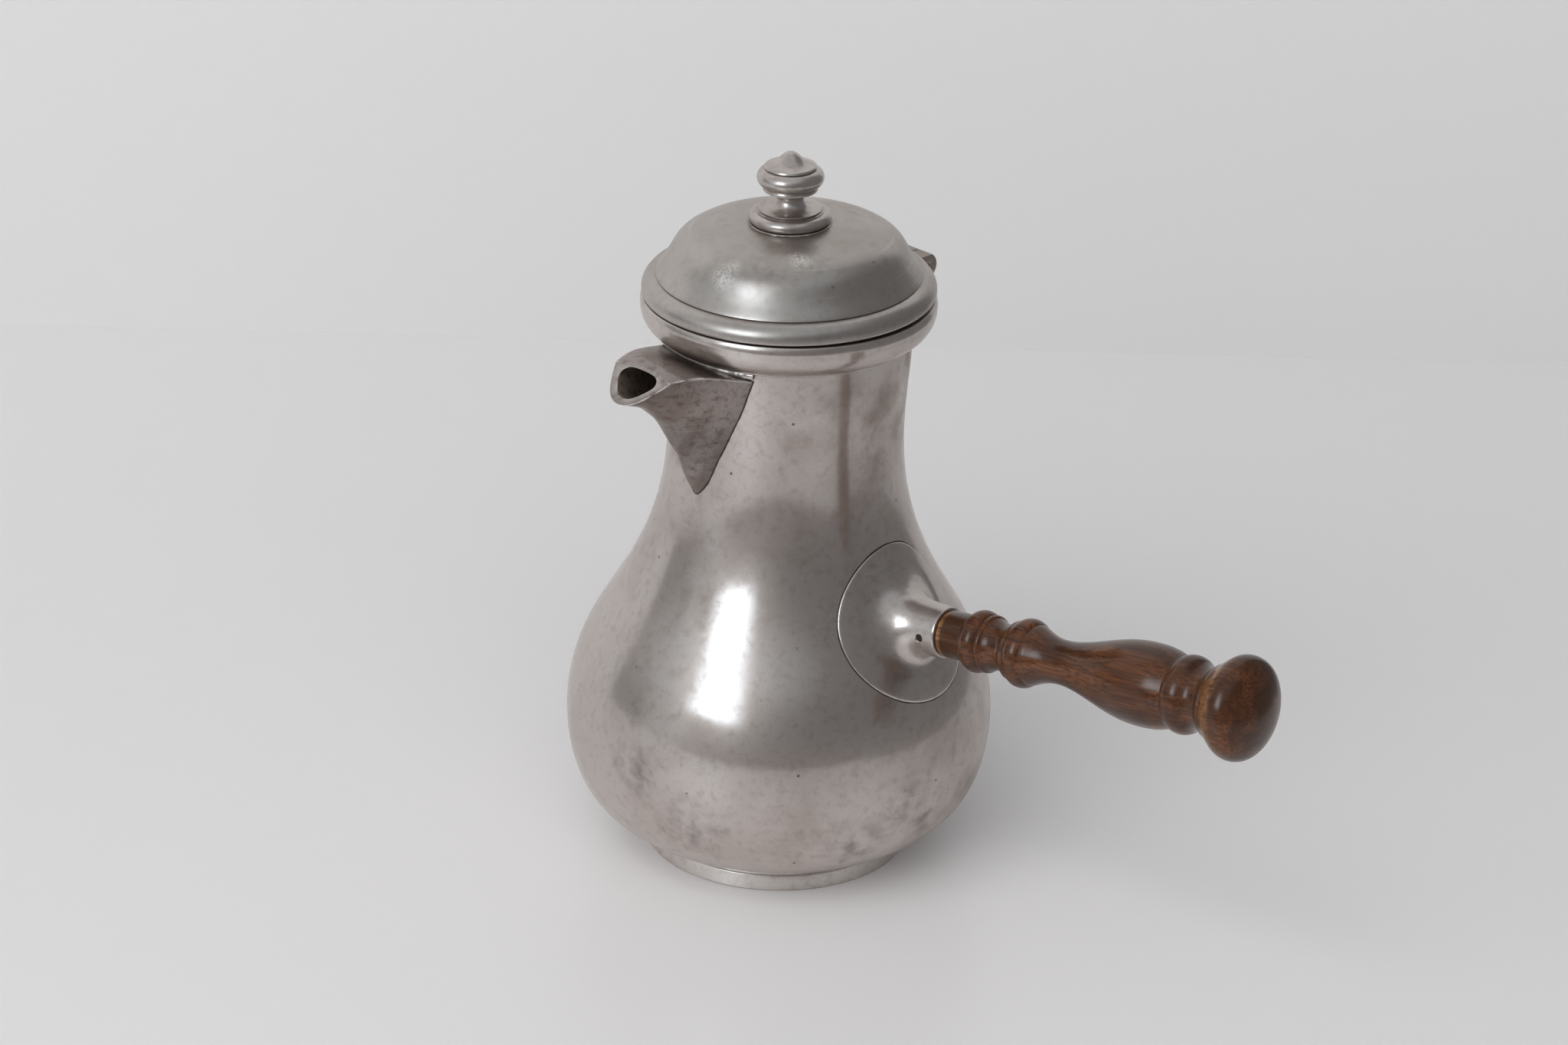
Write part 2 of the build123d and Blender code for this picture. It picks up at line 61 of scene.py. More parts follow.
CAMERA_HIGH = 0.6597
CAMERA_PITCH = radians(24.49)
CAMERA_YAW = radians(0.010)
CAMERA_ROLL = radians(1.450)
CAMERA_LENS_MM = 102.04
SENSOR_MM = 36.0


def seen_from_camera(x, y, z):
    """A place given along the view (x to the right, y away, z up) in the pot's own axes."""
    return Matrix.Rotation(VIEW_TURN, 3, "Z") @ Vector((x, y, z))


def placed(name, data):
    """A new object of the scene."""
    made = bpy.data.objects.new(name, data)
    bpy.context.scene.collection.objects.link(made)
    return made


def make_camera():
    ahead = Vector((sin(CAMERA_YAW) * cos(CAMERA_PITCH), cos(CAMERA_YAW) * cos(CAMERA_PITCH),
                    -sin(CAMERA_PITCH)))
    level = Vector((cos(CAMERA_YAW), -sin(CAMERA_YAW), 0.0))
    upward = level.cross(ahead)
    right = level * cos(CAMERA_ROLL) + upward * sin(CAMERA_ROLL)
    top = upward * cos(CAMERA_ROLL) - level * sin(CAMERA_ROLL)
    turn = Matrix((right, top, -ahead)).transposed()
    data = bpy.data.cameras.new("camera")
    data.lens = CAMERA_LENS_MM
    data.sensor_width = SENSOR_MM
    camera = placed("camera", data)
    camera.matrix_world = (Matrix.Translation(seen_from_camera(0.0, -CAMERA_AWAY, CAMERA_HIGH))
                           @ (Matrix.Rotation(VIEW_TURN, 3, "Z") @ turn).to_4x4())
    bpy.context.scene.camera = camera


make_camera()

# ---------------------------------------------------------------- body
# Pear-shaped vessel of cast pewter, about 1.8 mm thick and turned smooth on the lathe. The pouring
# hole is cut through the neck behind the spout. Wiping has left it satin, and brown in the hollows.
MM = 0.001
WALL = 1.8
BASE_R = 37.0
BASE_Z = 6.0
BELLY_R = 65.0
BELLY_Z = 42.0
THROAT_R = 35.4
THROAT_Z = 137.0
MOUTH_R = 37.2
RIM_Z = 178.7
# Shapes of the three stretches: (share of the rise, share of the change in radius)
BELLY_SHAPE = ((0.0, 0.0), (0.17, 0.50), (0.39, 0.79), (0.67, 0.942))
SHOULDER_SHAPE = ((0.0, 0.0), (0.147, 0.046), (0.295, 0.221), (0.453, 0.516), (0.611, 0.769), (0.79, 0.94))
NECK_SHAPE = ((0.0, 0.0), (0.25, 0.20), (0.60, 0.78), (1.0, 1.0))
BODY_SEGMENTS = 320
BODY_UNEVEN = 0.10
INSIDE_STEP = 3

PEWTER_CLEAN = (0.505, 0.435, 0.395, 1.0)
PEWTER_DULL = (0.450, 0.380, 0.340, 1.0)
PEWTER_STAIN = (0.230, 0.175, 0.140, 1.0)
PEWTER_DIRT = (0.100, 0.065, 0.045, 1.0)


def smooth_line(points, spacing=0.8, first=None, last=None):
    """Points along a smooth curve through the given ones. The end directions may be given."""
    p = np.array(points, float)
    h = np.linalg.norm(np.diff(p, axis=0), axis=1)
    n = len(p)
    a = np.zeros((n, n))
    b = np.zeros_like(p)
    for i in range(1, n - 1):
        a[i, i - 1:i + 2] = 1 / h[i - 1], 2 / h[i - 1] + 2 / h[i], 1 / h[i]
        b[i] = 3 * ((p[i] - p[i - 1]) / h[i - 1] ** 2 + (p[i + 1] - p[i]) / h[i] ** 2)
    a[0, :2] = (2, 1) if first is None else (1, 0)
    a[-1, -2:] = (1, 2) if last is None else (0, 1)
    b[0] = 3 * (p[1] - p[0]) / h[0] if first is None else np.array(first) / np.linalg.norm(first)
    b[-1] = 3 * (p[-1] - p[-2]) / h[-1] if last is None else np.array(last) / np.linalg.norm(last)
    m = np.linalg.solve(a, b)
    line = [p[0]]
    for i in range(n - 1):
        for s in np.linspace(0, 1, max(2, int(h[i] / spacing) + 1) + 1)[1:]:
            line.append((2 * s**3 - 3 * s**2 + 1) * p[i] + (s**3 - 2 * s**2 + s) * h[i] * m[i]
                        + (3 * s**2 - 2 * s**3) * p[i + 1] + (s**3 - s**2) * h[i] * m[i + 1])
    return [tuple(q) for q in line]


def arc(start, through, end, steps=10):
    """Points of a round stretch, without its start."""
    (ax, ay), (bx, by), (cx, cy) = start, through, end
    a, b, c = ax * ax + ay * ay, bx * bx + by * by, cx * cx + cy * cy
    d = 2 * (ax * (by - cy) + bx * (cy - ay) + cx * (ay - by))
    ux = (a * (by - cy) + b * (cy - ay) + c * (ay - by)) / d
    uy = (a * (cx - bx) + b * (ax - cx) + c * (bx - ax)) / d
    first, middle, last = (atan2(y - uy, x - ux) for x, y in (start, through, end))
    sweep = (last - first) % (2 * pi)
    if (middle - first) % (2 * pi) > sweep:
        sweep -= 2 * pi
    radius = hypot(ax - ux, ay - uy)
    turns = [first + sweep * i / steps for i in range(1, steps + 1)]
    return [(ux + radius * cos(t), uy + radius * sin(t)) for t in turns]


def outline(start, *steps):
    """Points of a turned outline: a point is a straight run to it, and a pair of points is an arc
    through the first that ends at the second."""
    points = [start]
    for step in steps:
        points += arc(points[-1], *step) if isinstance(step[0], tuple) else [step]
    return points


def eased(points, radius=0.25, turn=24.0):
    """The same line with its sharp corners rounded, as a polished edge is."""
    p = [np.array(q, float) for q in points]
    line = [p[0]]
    for before, here, after in zip(p, p[1:], p[2:]):
        come, go = here - before, after - here
        long_in, long_out = np.linalg.norm(come), np.linalg.norm(go)
        bend = degrees(np.arccos(np.clip(come @ go / (long_in * long_out), -1, 1)))
        if bend < turn:
            line.append(here)
            continue
        reach = min(radius, 0.45 * long_in, 0.45 * long_out)
        start, end = here - come / long_in * reach, here + go / long_out * reach
        line += [(1 - s) ** 2 * start + 2 * s * (1 - s) * here + s * s * end for s in (0, 0.33, 0.67, 1)]
    line.append(p[-1])
    return [tuple(q) for q in line]


def inset(points, wall):
    """Points of a rising outline moved in, square to it, by the wall."""
    p = np.array(points, float)
    run = np.gradient(p, axis=0)
    run /= np.linalg.norm(run, axis=1)[:, None]
    return [tuple(q) for q in p + wall * np.c_[-run[:, 1], run[:, 0]]]


def node(tree, kind, inputs=None, **settings):
    """A node with its settings, and its inputs given as values or as the sockets that feed them."""
    made = tree.nodes.new(kind)
    for name, value in settings.items():
        setattr(made, name, value)
    for key, value in (inputs or {}).items():
        if isinstance(value, bpy.types.NodeSocket):
            tree.links.new(value, made.inputs[key])
        else:
            made.inputs[key].default_value = value
    return made


def maths(tree, operation, a, b=0.0, clamp=False):
    return node(tree, "ShaderNodeMath", {0: a, 1: b}, operation=operation, use_clamp=clamp).outputs[0]


def chained(tree, operation, values, clamp):
    total = values[0]
    for place, value in enumerate(values[1:], 2):
        total = maths(tree, operation, total, value, clamp and place == len(values))
    return total


def times(tree, *values, clamp=False):
    """The values' product, kept between 0 and 1 at the end where it is clamped."""
    return chained(tree, "MULTIPLY", values, clamp)


def plus(tree, *values, clamp=False):
    """The values' sum, kept between 0 and 1 at the end where it is clamped."""
    return chained(tree, "ADD", values, clamp)


def between(tree, value, low, high):
    """0 at low, 1 at high and even in between."""
    return node(tree, "ShaderNodeMapRange", {0: value, 1: low, 2: high}, clamp=True).outputs[0]


def mixed(tree, share, first, second):
    """The first colour, turned into the second by the share."""
    return node(tree, "ShaderNodeMix", {0: share, 6: first, 7: second}, data_type="RGBA").outputs[2]


def noise(tree, vector, scale, detail=2.0, **inputs):
    return node(tree, "ShaderNodeTexNoise", {"Vector": vector, "Scale": scale, "Detail": detail,
                                             **inputs}).outputs[0]


def own_place(tree):
    return node(tree, "ShaderNodeTexCoord").outputs["Object"]


def blank_material(name):
    """A new material without nodes, and its tree."""
    material = bpy.data.materials.new(name)
    material.use_nodes = True
    material.node_tree.nodes.clear()
    return material, material.node_tree


def shaded(tree, inputs, kind="ShaderNodeBsdfPrincipled"):
    """The material's shader, joined to its output."""
    shader = node(tree, kind, inputs)
    node(tree, "ShaderNodeOutputMaterial", {"Surface": shader.outputs[0]})
    return shader


def turned_tree():
    """Geometry Nodes that turn an outline, given as points at (radius, 0, height), about Z."""
    tree = bpy.data.node_groups.new("turned piece", "GeometryNodeTree")
    for name, kind in (("Outline", "Geometry"), ("Segments", "Int"), ("Unevenness", "Float"),
                       ("Material", "Material")):
        tree.interface.new_socket(name, in_out="INPUT", socket_type="NodeSocket" + kind)
    tree.interface.new_socket("Piece", in_out="OUTPUT", socket_type="NodeSocketGeometry")
    given = node(tree, "NodeGroupInput").outputs
    size = node(tree, "GeometryNodeAttributeDomainSize", {0: given["Outline"]}, component="MESH")
    count = size.outputs[0]

    def whole(operation, a, b):
        return node(tree, "FunctionNodeIntegerMath", {0: a, 1: b}, operation=operation).outputs[0]

    grid = node(tree, "GeometryNodeMeshGrid", {"Vertices X": whole("ADD", given["Segments"], 1),
                                               "Vertices Y": count})
    index = node(tree, "GeometryNodeInputIndex").outputs[0]
    row, column = whole("MODULO", index, count), whole("DIVIDE_FLOOR", index, count)
    place = node(tree, "GeometryNodeInputPosition").outputs[0]
    sample = node(tree, "GeometryNodeSampleIndex", {"Geometry": given["Outline"], "Value": place,
                                                    "Index": row}, data_type="FLOAT_VECTOR", domain="POINT")
    at = node(tree, "ShaderNodeSeparateXYZ", {0: sample.outputs[0]}).outputs
    turn = maths(tree, "DIVIDE", times(tree, column, 2 * pi), given["Segments"])
    across, along = maths(tree, "COSINE", turn), maths(tree, "SINE", turn)
    flat = node(tree, "ShaderNodeCombineXYZ", {0: across, 1: along}).outputs[0]
    out = node(tree, "ShaderNodeVectorMath", {0: flat, "Scale": at[0]}, operation="SCALE").outputs[0]
    lift = node(tree, "ShaderNodeCombineXYZ", {2: at[2]}).outputs[0]
    round_place = node(tree, "ShaderNodeVectorMath", {0: out, 1: lift}, operation="ADD").outputs[0]
    waves = noise(tree, round_place, 22.0, 1.0)
    amount = times(tree, maths(tree, "SUBTRACT", waves, 1.0), given["Unevenness"])
    near_axis = times(tree, at[0], 60.0, clamp=True)
    push = node(tree, "ShaderNodeVectorMath", {0: flat, "Scale": times(tree, amount, near_axis)},
                operation="SCALE").outputs[0]
    final = node(tree, "ShaderNodeVectorMath", {0: round_place, 1: push}, operation="ADD").outputs[0]
    shaped = node(tree, "GeometryNodeSetPosition", {"Geometry": grid.outputs[0], "Position": final})
    closed = node(tree, "GeometryNodeMergeByDistance", {"Geometry": shaped.outputs[0],
                                                        "Distance": 2e-6}).outputs[0]
    smooth = node(tree, "GeometryNodeSetShadeSmooth", {"Geometry": closed}).outputs[0]
    real = node(tree, "GeometryNodeRealizeInstances", {"Geometry": smooth}).outputs[0]
    dressed = node(tree, "GeometryNodeSetMaterial", {"Geometry": real, "Material": given["Material"]})
    node(tree, "NodeGroupOutput", {0: dressed.outputs[0]})
    return tree


TURNED = turned_tree()


def evaluated_mesh(piece):
    """A plain mesh of the piece as its modifiers leave it."""
    bpy.context.view_layer.update()
    return bpy.data.meshes.new_from_object(piece.evaluated_get(bpy.context.evaluated_depsgraph_get()))


def turned_piece(name, points, material, segments=192, uneven=0.0, place=None):
    """A piece turned from its outline in millimetres, as a plain mesh at its place."""
    wire = bpy.data.meshes.new(name + "_outline")
    wire.from_pydata([(r * MM, 0.0, z * MM) for r, z in points], [], [])
    maker = placed(name + "_maker", wire)
    modifier = maker.modifiers.new("turned", "NODES")
    modifier.node_group = TURNED
    sockets = {s.name: s.identifier for s in TURNED.interface.items_tree if s.in_out == "INPUT"}
    modifier[sockets["Segments"]] = segments
    modifier[sockets["Unevenness"]] = uneven * MM
    modifier[sockets["Material"]] = material
    mesh = evaluated_mesh(maker)
    mesh.name = name
    maker.modifiers.remove(modifier)
    bpy.data.objects.remove(maker)
    if place is not None:
        mesh.transform(place)
    return finished(name, mesh, material)


def finished(name, mesh, material, sharp=34.0):
    """An object at the origin from a closed mesh whose place is in its points."""
    work = bmesh.new()
    work.from_mesh(mesh)
    bmesh.ops.recalc_face_normals(work, faces=work.faces)
    work.to_mesh(mesh)
    work.free()
    if not mesh.materials:
        mesh.materials.append(material)
    mesh.polygons.foreach_set("use_smooth", [True] * len(mesh.polygons))
    mesh.set_sharp_from_angle(angle=radians(sharp))
    return placed(name, mesh)


def pewter_group():
    """Colour, roughness, polish and relief of old pewter: cloudy dulling, soft stains, brown dirt in the
    corners, turning marks, fine scratches and casting pits. The metal mirrors the room softly, and
    its polished skin, which is the shader's coat, mirrors it sharply."""
    tree = bpy.data.node_groups.new("old pewter", "ShaderNodeTree")
    for name, kind, value in (("Clean", "Color", PEWTER_CLEAN), ("Dull", "Color", PEWTER_DULL),
                              ("Stain", "Color", PEWTER_STAIN), ("Dirt", "Color", PEWTER_DIRT),
                              ("Polished", "Float", 0.95), ("Worn", "Float", 0.44), ("Grain", "Float", 0.5),
                              ("Stains", "Float", 0.5), ("Dirt Depth", "Float", 0.9),
                              ("Dirt Reach", "Float", 0.0015),
                              ("Turning", "Float", 0.3), ("Scratches", "Float", 0.3),
                              ("Pits", "Float", 0.5)):
        socket = tree.interface.new_socket(name, in_out="INPUT", socket_type="NodeSocket" + kind)
        socket.default_value = value
    for name, kind in (("Color", "Color"), ("Roughness", "Float"), ("Polish", "Float"),
                       ("Normal", "Vector")):
        tree.interface.new_socket(name, in_out="OUTPUT", socket_type="NodeSocket" + kind)
    given = node(tree, "NodeGroupInput").outputs
    at = own_place(tree)

    clouds = between(tree, noise(tree, at, 30.0, 4.0, Distortion=0.4), 0.36, 0.66)
    grain = noise(tree, at, 1500.0, 3.0)
    mottle = noise(tree, at, 420.0, 5.0)
    blotches = between(tree, noise(tree, at, 17.0, 3.0), 0.46, 0.66)
    stains = between(tree, noise(tree, at, 64.0, 6.0, Distortion=0.6), 0.44, 0.74)
    stained = times(tree, stains, blotches, given["Stains"], clamp=True)
    corner = node(tree, "ShaderNodeAmbientOcclusion", {"Distance": given["Dirt Reach"]}, samples=8)
    dirt = times(tree, between(tree, corner.outputs["AO"], 0.80, 0.32), given["Dirt Depth"], clamp=True)

    apart = node(tree, "ShaderNodeSeparateXYZ", {0: at}).outputs
    squares = [times(tree, apart[i], apart[i]) for i in (0, 1)]
    radial = maths(tree, "SQRT", plus(tree, *squares))
    ring_place = plus(tree, apart[2], times(tree, radial, 0.8))
    lathe = node(tree, "ShaderNodeTexNoise", {"W": ring_place, "Scale": 1100.0, "Detail": 2.0},
                 noise_dimensions="1D").outputs[0]

    streaks = 0.0
    for turn, long_scale, cross_scale in ((0.5, 14.0, 900.0), (2.1, 20.0, 1300.0), (-0.9, 10.0, 1100.0)):
        slanted = node(tree, "ShaderNodeMapping", {"Vector": at, "Rotation": (turn, turn * 0.6, turn * 1.7),
                                                   "Scale": (long_scale, long_scale, cross_scale)})
        line = between(tree, noise(tree, slanted.outputs[0], 1.0, 0.0), 0.71, 0.76)
        patch = between(tree, noise(tree, at, 26.0 + 9 * turn, 1.0), 0.54, 0.60)
        streaks = plus(tree, streaks, times(tree, line, patch))
    scratched = times(tree, streaks, given["Scratches"], clamp=True)

    cells = node(tree, "ShaderNodeTexVoronoi", {"Vector": at, "Scale": 300.0}).outputs
    chosen = node(tree, "ShaderNodeSeparateColor", {0: cells["Color"]}).outputs[0]
    pits = times(tree, between(tree, cells["Distance"], 0.17, 0.08), between(tree, chosen, 0.94, 0.96),
                 given["Pits"], clamp=True)

    color = mixed(tree, clouds, given["Clean"], given["Dull"])
    grained = plus(tree, times(tree, between(tree, grain, 0.52, 0.78), given["Grain"]),
                   times(tree, between(tree, mottle, 0.50, 0.70), given["Grain"]), clamp=True)
    for share, tone in ((times(tree, grained, 0.6), given["Stain"]), (stained, given["Stain"]),
                        (times(tree, scratched, 0.4), (0.86, 0.84, 0.82, 1.0)), (pits, given["Dirt"]),
                        (dirt, given["Dirt"])):
        color = mixed(tree, share, color, tone)
    rough = plus(tree, given["Worn"], times(tree, maths(tree, "SUBTRACT", clouds, 0.5), 0.05),
                 times(tree, stained, 0.10), times(tree, dirt, 0.35), clamp=True)
    lost = plus(tree, times(tree, stained, 0.6), times(tree, clouds, 0.12), times(tree, grained, 0.5),
                dirt, pits)
    polish = times(tree, given["Polished"], maths(tree, "SUBTRACT", 1.0, lost, clamp=True), clamp=True)

    height = plus(tree, times(tree, lathe, given["Turning"]), times(tree, grain, 0.5),
                  times(tree, scratched, -0.8), times(tree, pits, -4.0))
    relief = node(tree, "ShaderNodeBump", {"Height": height, "Strength": 0.30, "Distance": 1.5e-5})
    node(tree, "NodeGroupOutput", {"Color": color, "Roughness": rough, "Polish": polish,
                                   "Normal": relief.outputs[0]})
    return tree


OLD_PEWTER = pewter_group()


def pewter(name, gloss=0.14, **values):
    """A pewter finish with this piece's own weathering; the values are the group's inputs by name, and the
    gloss is how softly the polished skin mirrors."""
    material, tree = blank_material(name)
    surface = node(tree, "ShaderNodeGroup", node_tree=OLD_PEWTER)
    for key, value in values.items():
        surface.inputs[key.replace("_", " ")].default_value = value
    worn = surface.outputs
    shaded(tree, {"Base Color": worn["Color"], "Metallic": 1.0, "Roughness": worn["Roughness"],
                  "Coat Weight": worn["Polish"], "Coat Roughness": gloss, "Coat IOR": 3.0,
                  "Specular Tint": (0.80, 0.76, 0.73, 1.0), "Normal": worn["Normal"]})
    return material


def repainted(tree, name, change):
    """Feeds the shader's input with a change of what fed it before."""
    socket = tree.nodes["Principled BSDF"].inputs[name]
    tree.links.new(change(socket.links[0].from_socket), socket)


def tint_patches(material, places, tint, strength, noise_scale=160.0):
    """Tints the colour towards the given tint at given places: (x, y, z, radius) in millimetres, with
    ragged edges.
    """
    tree = material.node_tree
    at = own_place(tree)
    mask = 0.0
    for x, y, z, radius in places:
        away = node(tree, "ShaderNodeVectorMath", {0: at, 1: (x * MM, y * MM, z * MM)},
                    operation="DISTANCE")
        near = between(tree, away.outputs[1], radius * MM, 0.2 * radius * MM)
        mask = maths(tree, "MAXIMUM", mask, near)
    ragged = between(tree, noise(tree, at, noise_scale, 5.0), 0.36, 0.64)
    mask = times(tree, mask, ragged, strength)
    repainted(tree, "Base Color", lambda color: mixed(tree, mask, color, tint))
    left = maths(tree, "SUBTRACT", 1.0, mask, clamp=True)
    repainted(tree, "Coat Weight", lambda polish: times(tree, polish, left))


def stretch(shape, z, rise, r, change):
    return [(r + part * change, z + share * rise) for share, part in shape]


def body_line():
    """The pear outline from the base to the mouth."""
    return (stretch(BELLY_SHAPE, BASE_Z, BELLY_Z - BASE_Z, BASE_R, BELLY_R - BASE_R)
            + stretch(SHOULDER_SHAPE, BELLY_Z, THROAT_Z - BELLY_Z, BELLY_R, THROAT_R - BELLY_R)
            + stretch(NECK_SHAPE, THROAT_Z, RIM_Z - THROAT_Z, THROAT_R, MOUTH_R - THROAT_R))


BODY_OUTSIDE = smooth_line(body_line(), 0.9)


def body_radius(z):
    """Outer radius of the body at a height."""
    line = np.array(BODY_OUTSIDE)
    return np.interp(z, line[:, 1], line[:, 0])


def closed_loft(name, rows, material, sharp=34.0, ends=False):
    """A skin over closed rows of equally many points. It is closed along its length too, or else
    capped where the ends are asked for."""
    rows = [np.asarray(row, float) * MM for row in rows]
    count, around = len(rows), len(rows[0])
    points = np.concatenate(rows)
    last = count - 1 if ends else count
    faces = [(i * around + j, i * around + (j + 1) % around,
              (i + 1) % count * around + (j + 1) % around, (i + 1) % count * around + j)
             for i in range(last) for j in range(around)]
    if ends:
        faces += [tuple(range(around))[::-1], tuple(range((count - 1) * around, count * around))]
    mesh = bpy.data.meshes.new(name)
    mesh.from_pydata([tuple(p) for p in points], [], faces)
    return finished(name, mesh, material, sharp)


def cut(piece, tool):
    """Takes the tool's shape out of the piece and leaves a plain mesh."""
    modifier = piece.modifiers.new("cut", "BOOLEAN")
    modifier.object, modifier.operation, modifier.solver = tool, "DIFFERENCE", "EXACT"
    mesh = evaluated_mesh(piece)
    piece.modifiers.remove(modifier)
    piece.data = mesh
    bpy.data.objects.remove(tool)


# The pouring channel from the mouth inwards, section by section:
# (reach of its middle from the pot's axis, height, lean back, half width, top, bottom)
CHANNEL = ((60.7, 166.5, 53.5, 7.2, 4.4, -5.8), (55.6, 164.8, 38.0, 8.2, 4.4, -6.6),
           (49.5, 162.0, 20.0, 9.4, 5.0, -8.4), (42.0, 158.0, 5.0, 10.8, 7.6, -12.5),
           (34.0, 153.5, 0.0, 12.2, 10.5, -16.0), (27.0, 151.0, 0.0, 12.8, 11.5, -18.0))
HOLE_SHAPE = ((0.0, 1.0), (0.56, 0.95), (0.92, 0.66), (1.0, 0.30))
HOLE_SHAPE_LOW = ((0.875, 0.16), (0.60, 0.60), (0.305, 0.915), (0.0, 1.0))
ROUND_TURNS = np.linspace(0, 2 * pi, 160, endpoint=False)


def channel_loop(section, grown=0.0, turns=ROUND_TURNS):
    """One section of the channel, a rounded beak shape, as points at the given turns round its middle."""
    reach, middle, lean, half, top, bottom = section
    right = ([(half * v, top * q) for v, q in HOLE_SHAPE]
             + [(half * v, bottom * q) for v, q in HOLE_SHAPE_LOW])
    loop = right + [(-v, q) for v, q in right[-2:0:-1]] + [right[0]]
    line = np.array(smooth_line(loop, 0.3, first=(1, 0), last=(1, 0)))[:-1]
    angle = np.arctan2(line[:, 1], line[:, 0]) % (2 * pi)
    order = np.argsort(angle)
    size = np.interp(np.asarray(turns) % (2 * pi), angle[order], np.hypot(line[:, 0], line[:, 1])[order],
                     period=2 * pi) + grown
    v, q = size * np.cos(turns), size * np.sin(turns)
    return np.c_[-reach + q * sin(radians(lean)), v, middle + q * cos(radians(lean))]


BODY_METAL = pewter("body_pewter", 0.14, Stains=0.6, Turning=0.20, Scratches=0.04, Pits=0.8, Grain=0.5)
# The first darkens the neck's right side towards brown, the second is tarnish low on the belly.
tint_patches(BODY_METAL, ((-8.5, -35.4, 156, 16), (3, -36, 150, 20), (-21, -29, 150, 12), (16, -32, 150, 22),
                       (20, -30, 166, 18), (0, -36, 135, 16)), (0.220, 0.160, 0.125, 1.0), 0.65, 90.0)
tint_patches(BODY_METAL, ((-9, -64, 37.5, 13), (-22, -58, 25, 14), (-59, -24, 29.5, 14), (-65, -6.5, 44, 12),
                       (2, -62, 28, 14), (22, -58, 30, 12)), (0.120, 0.098, 0.085, 1.0), 0.55, 200.0)
inside = inset(BODY_OUTSIDE, WALL)
inside = inside[:-1:INSIDE_STEP] + inside[-1:]
body = turned_piece("body", eased([(0.0, BASE_Z)] + BODY_OUTSIDE + inside[::-1] + [(0.0, BASE_Z + WALL)]),
                    BODY_METAL, BODY_SEGMENTS, BODY_UNEVEN)
cut(body, closed_loft("channel_tool", [channel_loop(section, -0.3) for section in CHANNEL[2:]], BODY_METAL,
                      ends=True))
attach(body, "pot")
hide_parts("body_shell")

# ---------------------------------------------------------------- foot ring
# Plain cast pewter ring with a small step at its top. It is soldered under the body, and the pot
# stands on its flat face.
FOOT_R = 40.4
FOOT_HEIGHT = 4.7
FOOT_TOP_R = 39.6
FOOT_STEP_R = 39.0
FOOT_INNER_R = 35.4

seat = [(r, z) for r, z in BODY_OUTSIDE if r < FOOT_STEP_R and z < BELLY_Z]
seat_z = float(np.interp(FOOT_STEP_R, *zip(*BODY_OUTSIDE[:20])))
foot = ([(FOOT_INNER_R, 3.0), (FOOT_INNER_R, 0.0), (FOOT_R - 0.3, 0.0), (FOOT_R, 0.3),
         (FOOT_TOP_R, FOOT_HEIGHT), (FOOT_STEP_R, FOOT_HEIGHT + 0.3), (FOOT_STEP_R, seat_z)]
        + seat[::-1] + [(FOOT_INNER_R, BASE_Z), (FOOT_INNER_R, 3.0)])
# The foot's pewter is painted much lighter than the body's, as a painted reflection of the bright table
# round the foot.
FOOT_METAL_PAINTED_LIGHTER = pewter("foot_pewter_painted_lighter", Clean=(0.740, 0.675, 0.630, 1.0), Dull=(0.680, 0.610, 0.560, 1.0),
                    Stains=0.3, Dirt_Depth=0.4, Turning=0.3, Scratches=0.1, Pits=0.8)
foot_piece = turned_piece("foot", eased(foot), FOOT_METAL_PAINTED_LIGHTER, 224, 0.06)
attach(foot_piece, "pot")
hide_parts("foot_ring")

# ---------------------------------------------------------------- rim collar
# Turned pewter ring with a half-round bead, a cove and a small lip. It is slipped over the neck
# and soldered there, and the lid rests on its flat top.
COLLAR_R = 43.9
COLLAR_HEIGHT = 11.6
COLLAR_BEAD_Z = RIM_Z - 2.8
COLLAR_LIP_R = 39.3
COLLAR_FOOT_Z = RIM_Z - COLLAR_HEIGHT
COLLAR_FOOT_R = body_radius(COLLAR_FOOT_Z)
COLLAR_LIP_Z = COLLAR_FOOT_Z + 1.3

neck = [(r, z) for r, z in BODY_OUTSIDE if z > COLLAR_FOOT_Z]
collar = outline((MOUTH_R, RIM_Z), (COLLAR_R - 0.6, RIM_Z),
                 ((COLLAR_R - 0.15, RIM_Z - 0.9), (COLLAR_R, COLLAR_BEAD_Z)),
                 ((COLLAR_R - 1.0, COLLAR_BEAD_Z - 4.1), (COLLAR_LIP_R, COLLAR_LIP_Z)),
                 (COLLAR_LIP_R, COLLAR_LIP_Z - 0.3),
                 ((COLLAR_LIP_R - 1.4, COLLAR_LIP_Z - 0.6), (COLLAR_FOOT_R + 0.2, COLLAR_FOOT_Z)),
                 (COLLAR_FOOT_R, COLLAR_FOOT_Z)) + neck
COLLAR_METAL = pewter("collar_pewter", Stains=0.5, Turning=0.4, Scratches=0.35, Pits=0.5)
collar_piece = turned_piece("collar", eased(collar), COLLAR_METAL, 288, 0.06)
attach(collar_piece, "pot")
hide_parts("rim_collar")

# ---------------------------------------------------------------- spout
# Hollow cast beak with flat flanks, a rounded keel, a crowned top and a slanting mouth. It is filed
# to the neck and soldered on, and looks browner and duller than the turned parts.
MOUTH_REACH = 57.9
MOUTH_CORNER_Z = 168.6
MOUTH_SLANT = radians(53.5)
MOUTH_SIDE = ((0.0, 11.75), (2.6, 11.3), (4.9, 10.0), (7.5, 7.1), (9.65, 3.65), (11.6, -0.2))
CROWN = 1.7
# (height, half width) of the spout's edge on the neck, from the keel up
SPOUT_EDGE = ((124.4, 0.0), (125.7, 1.8), (127.2, 3.1), (129.0, 4.3), (132.4, 5.8), (137.1, 7.7),
              (141.3, 9.7), (145.8, 11.7), (149.4, 13.3), (154.0, 15.3), (159.3, 17.1), (165.1, 19.0))
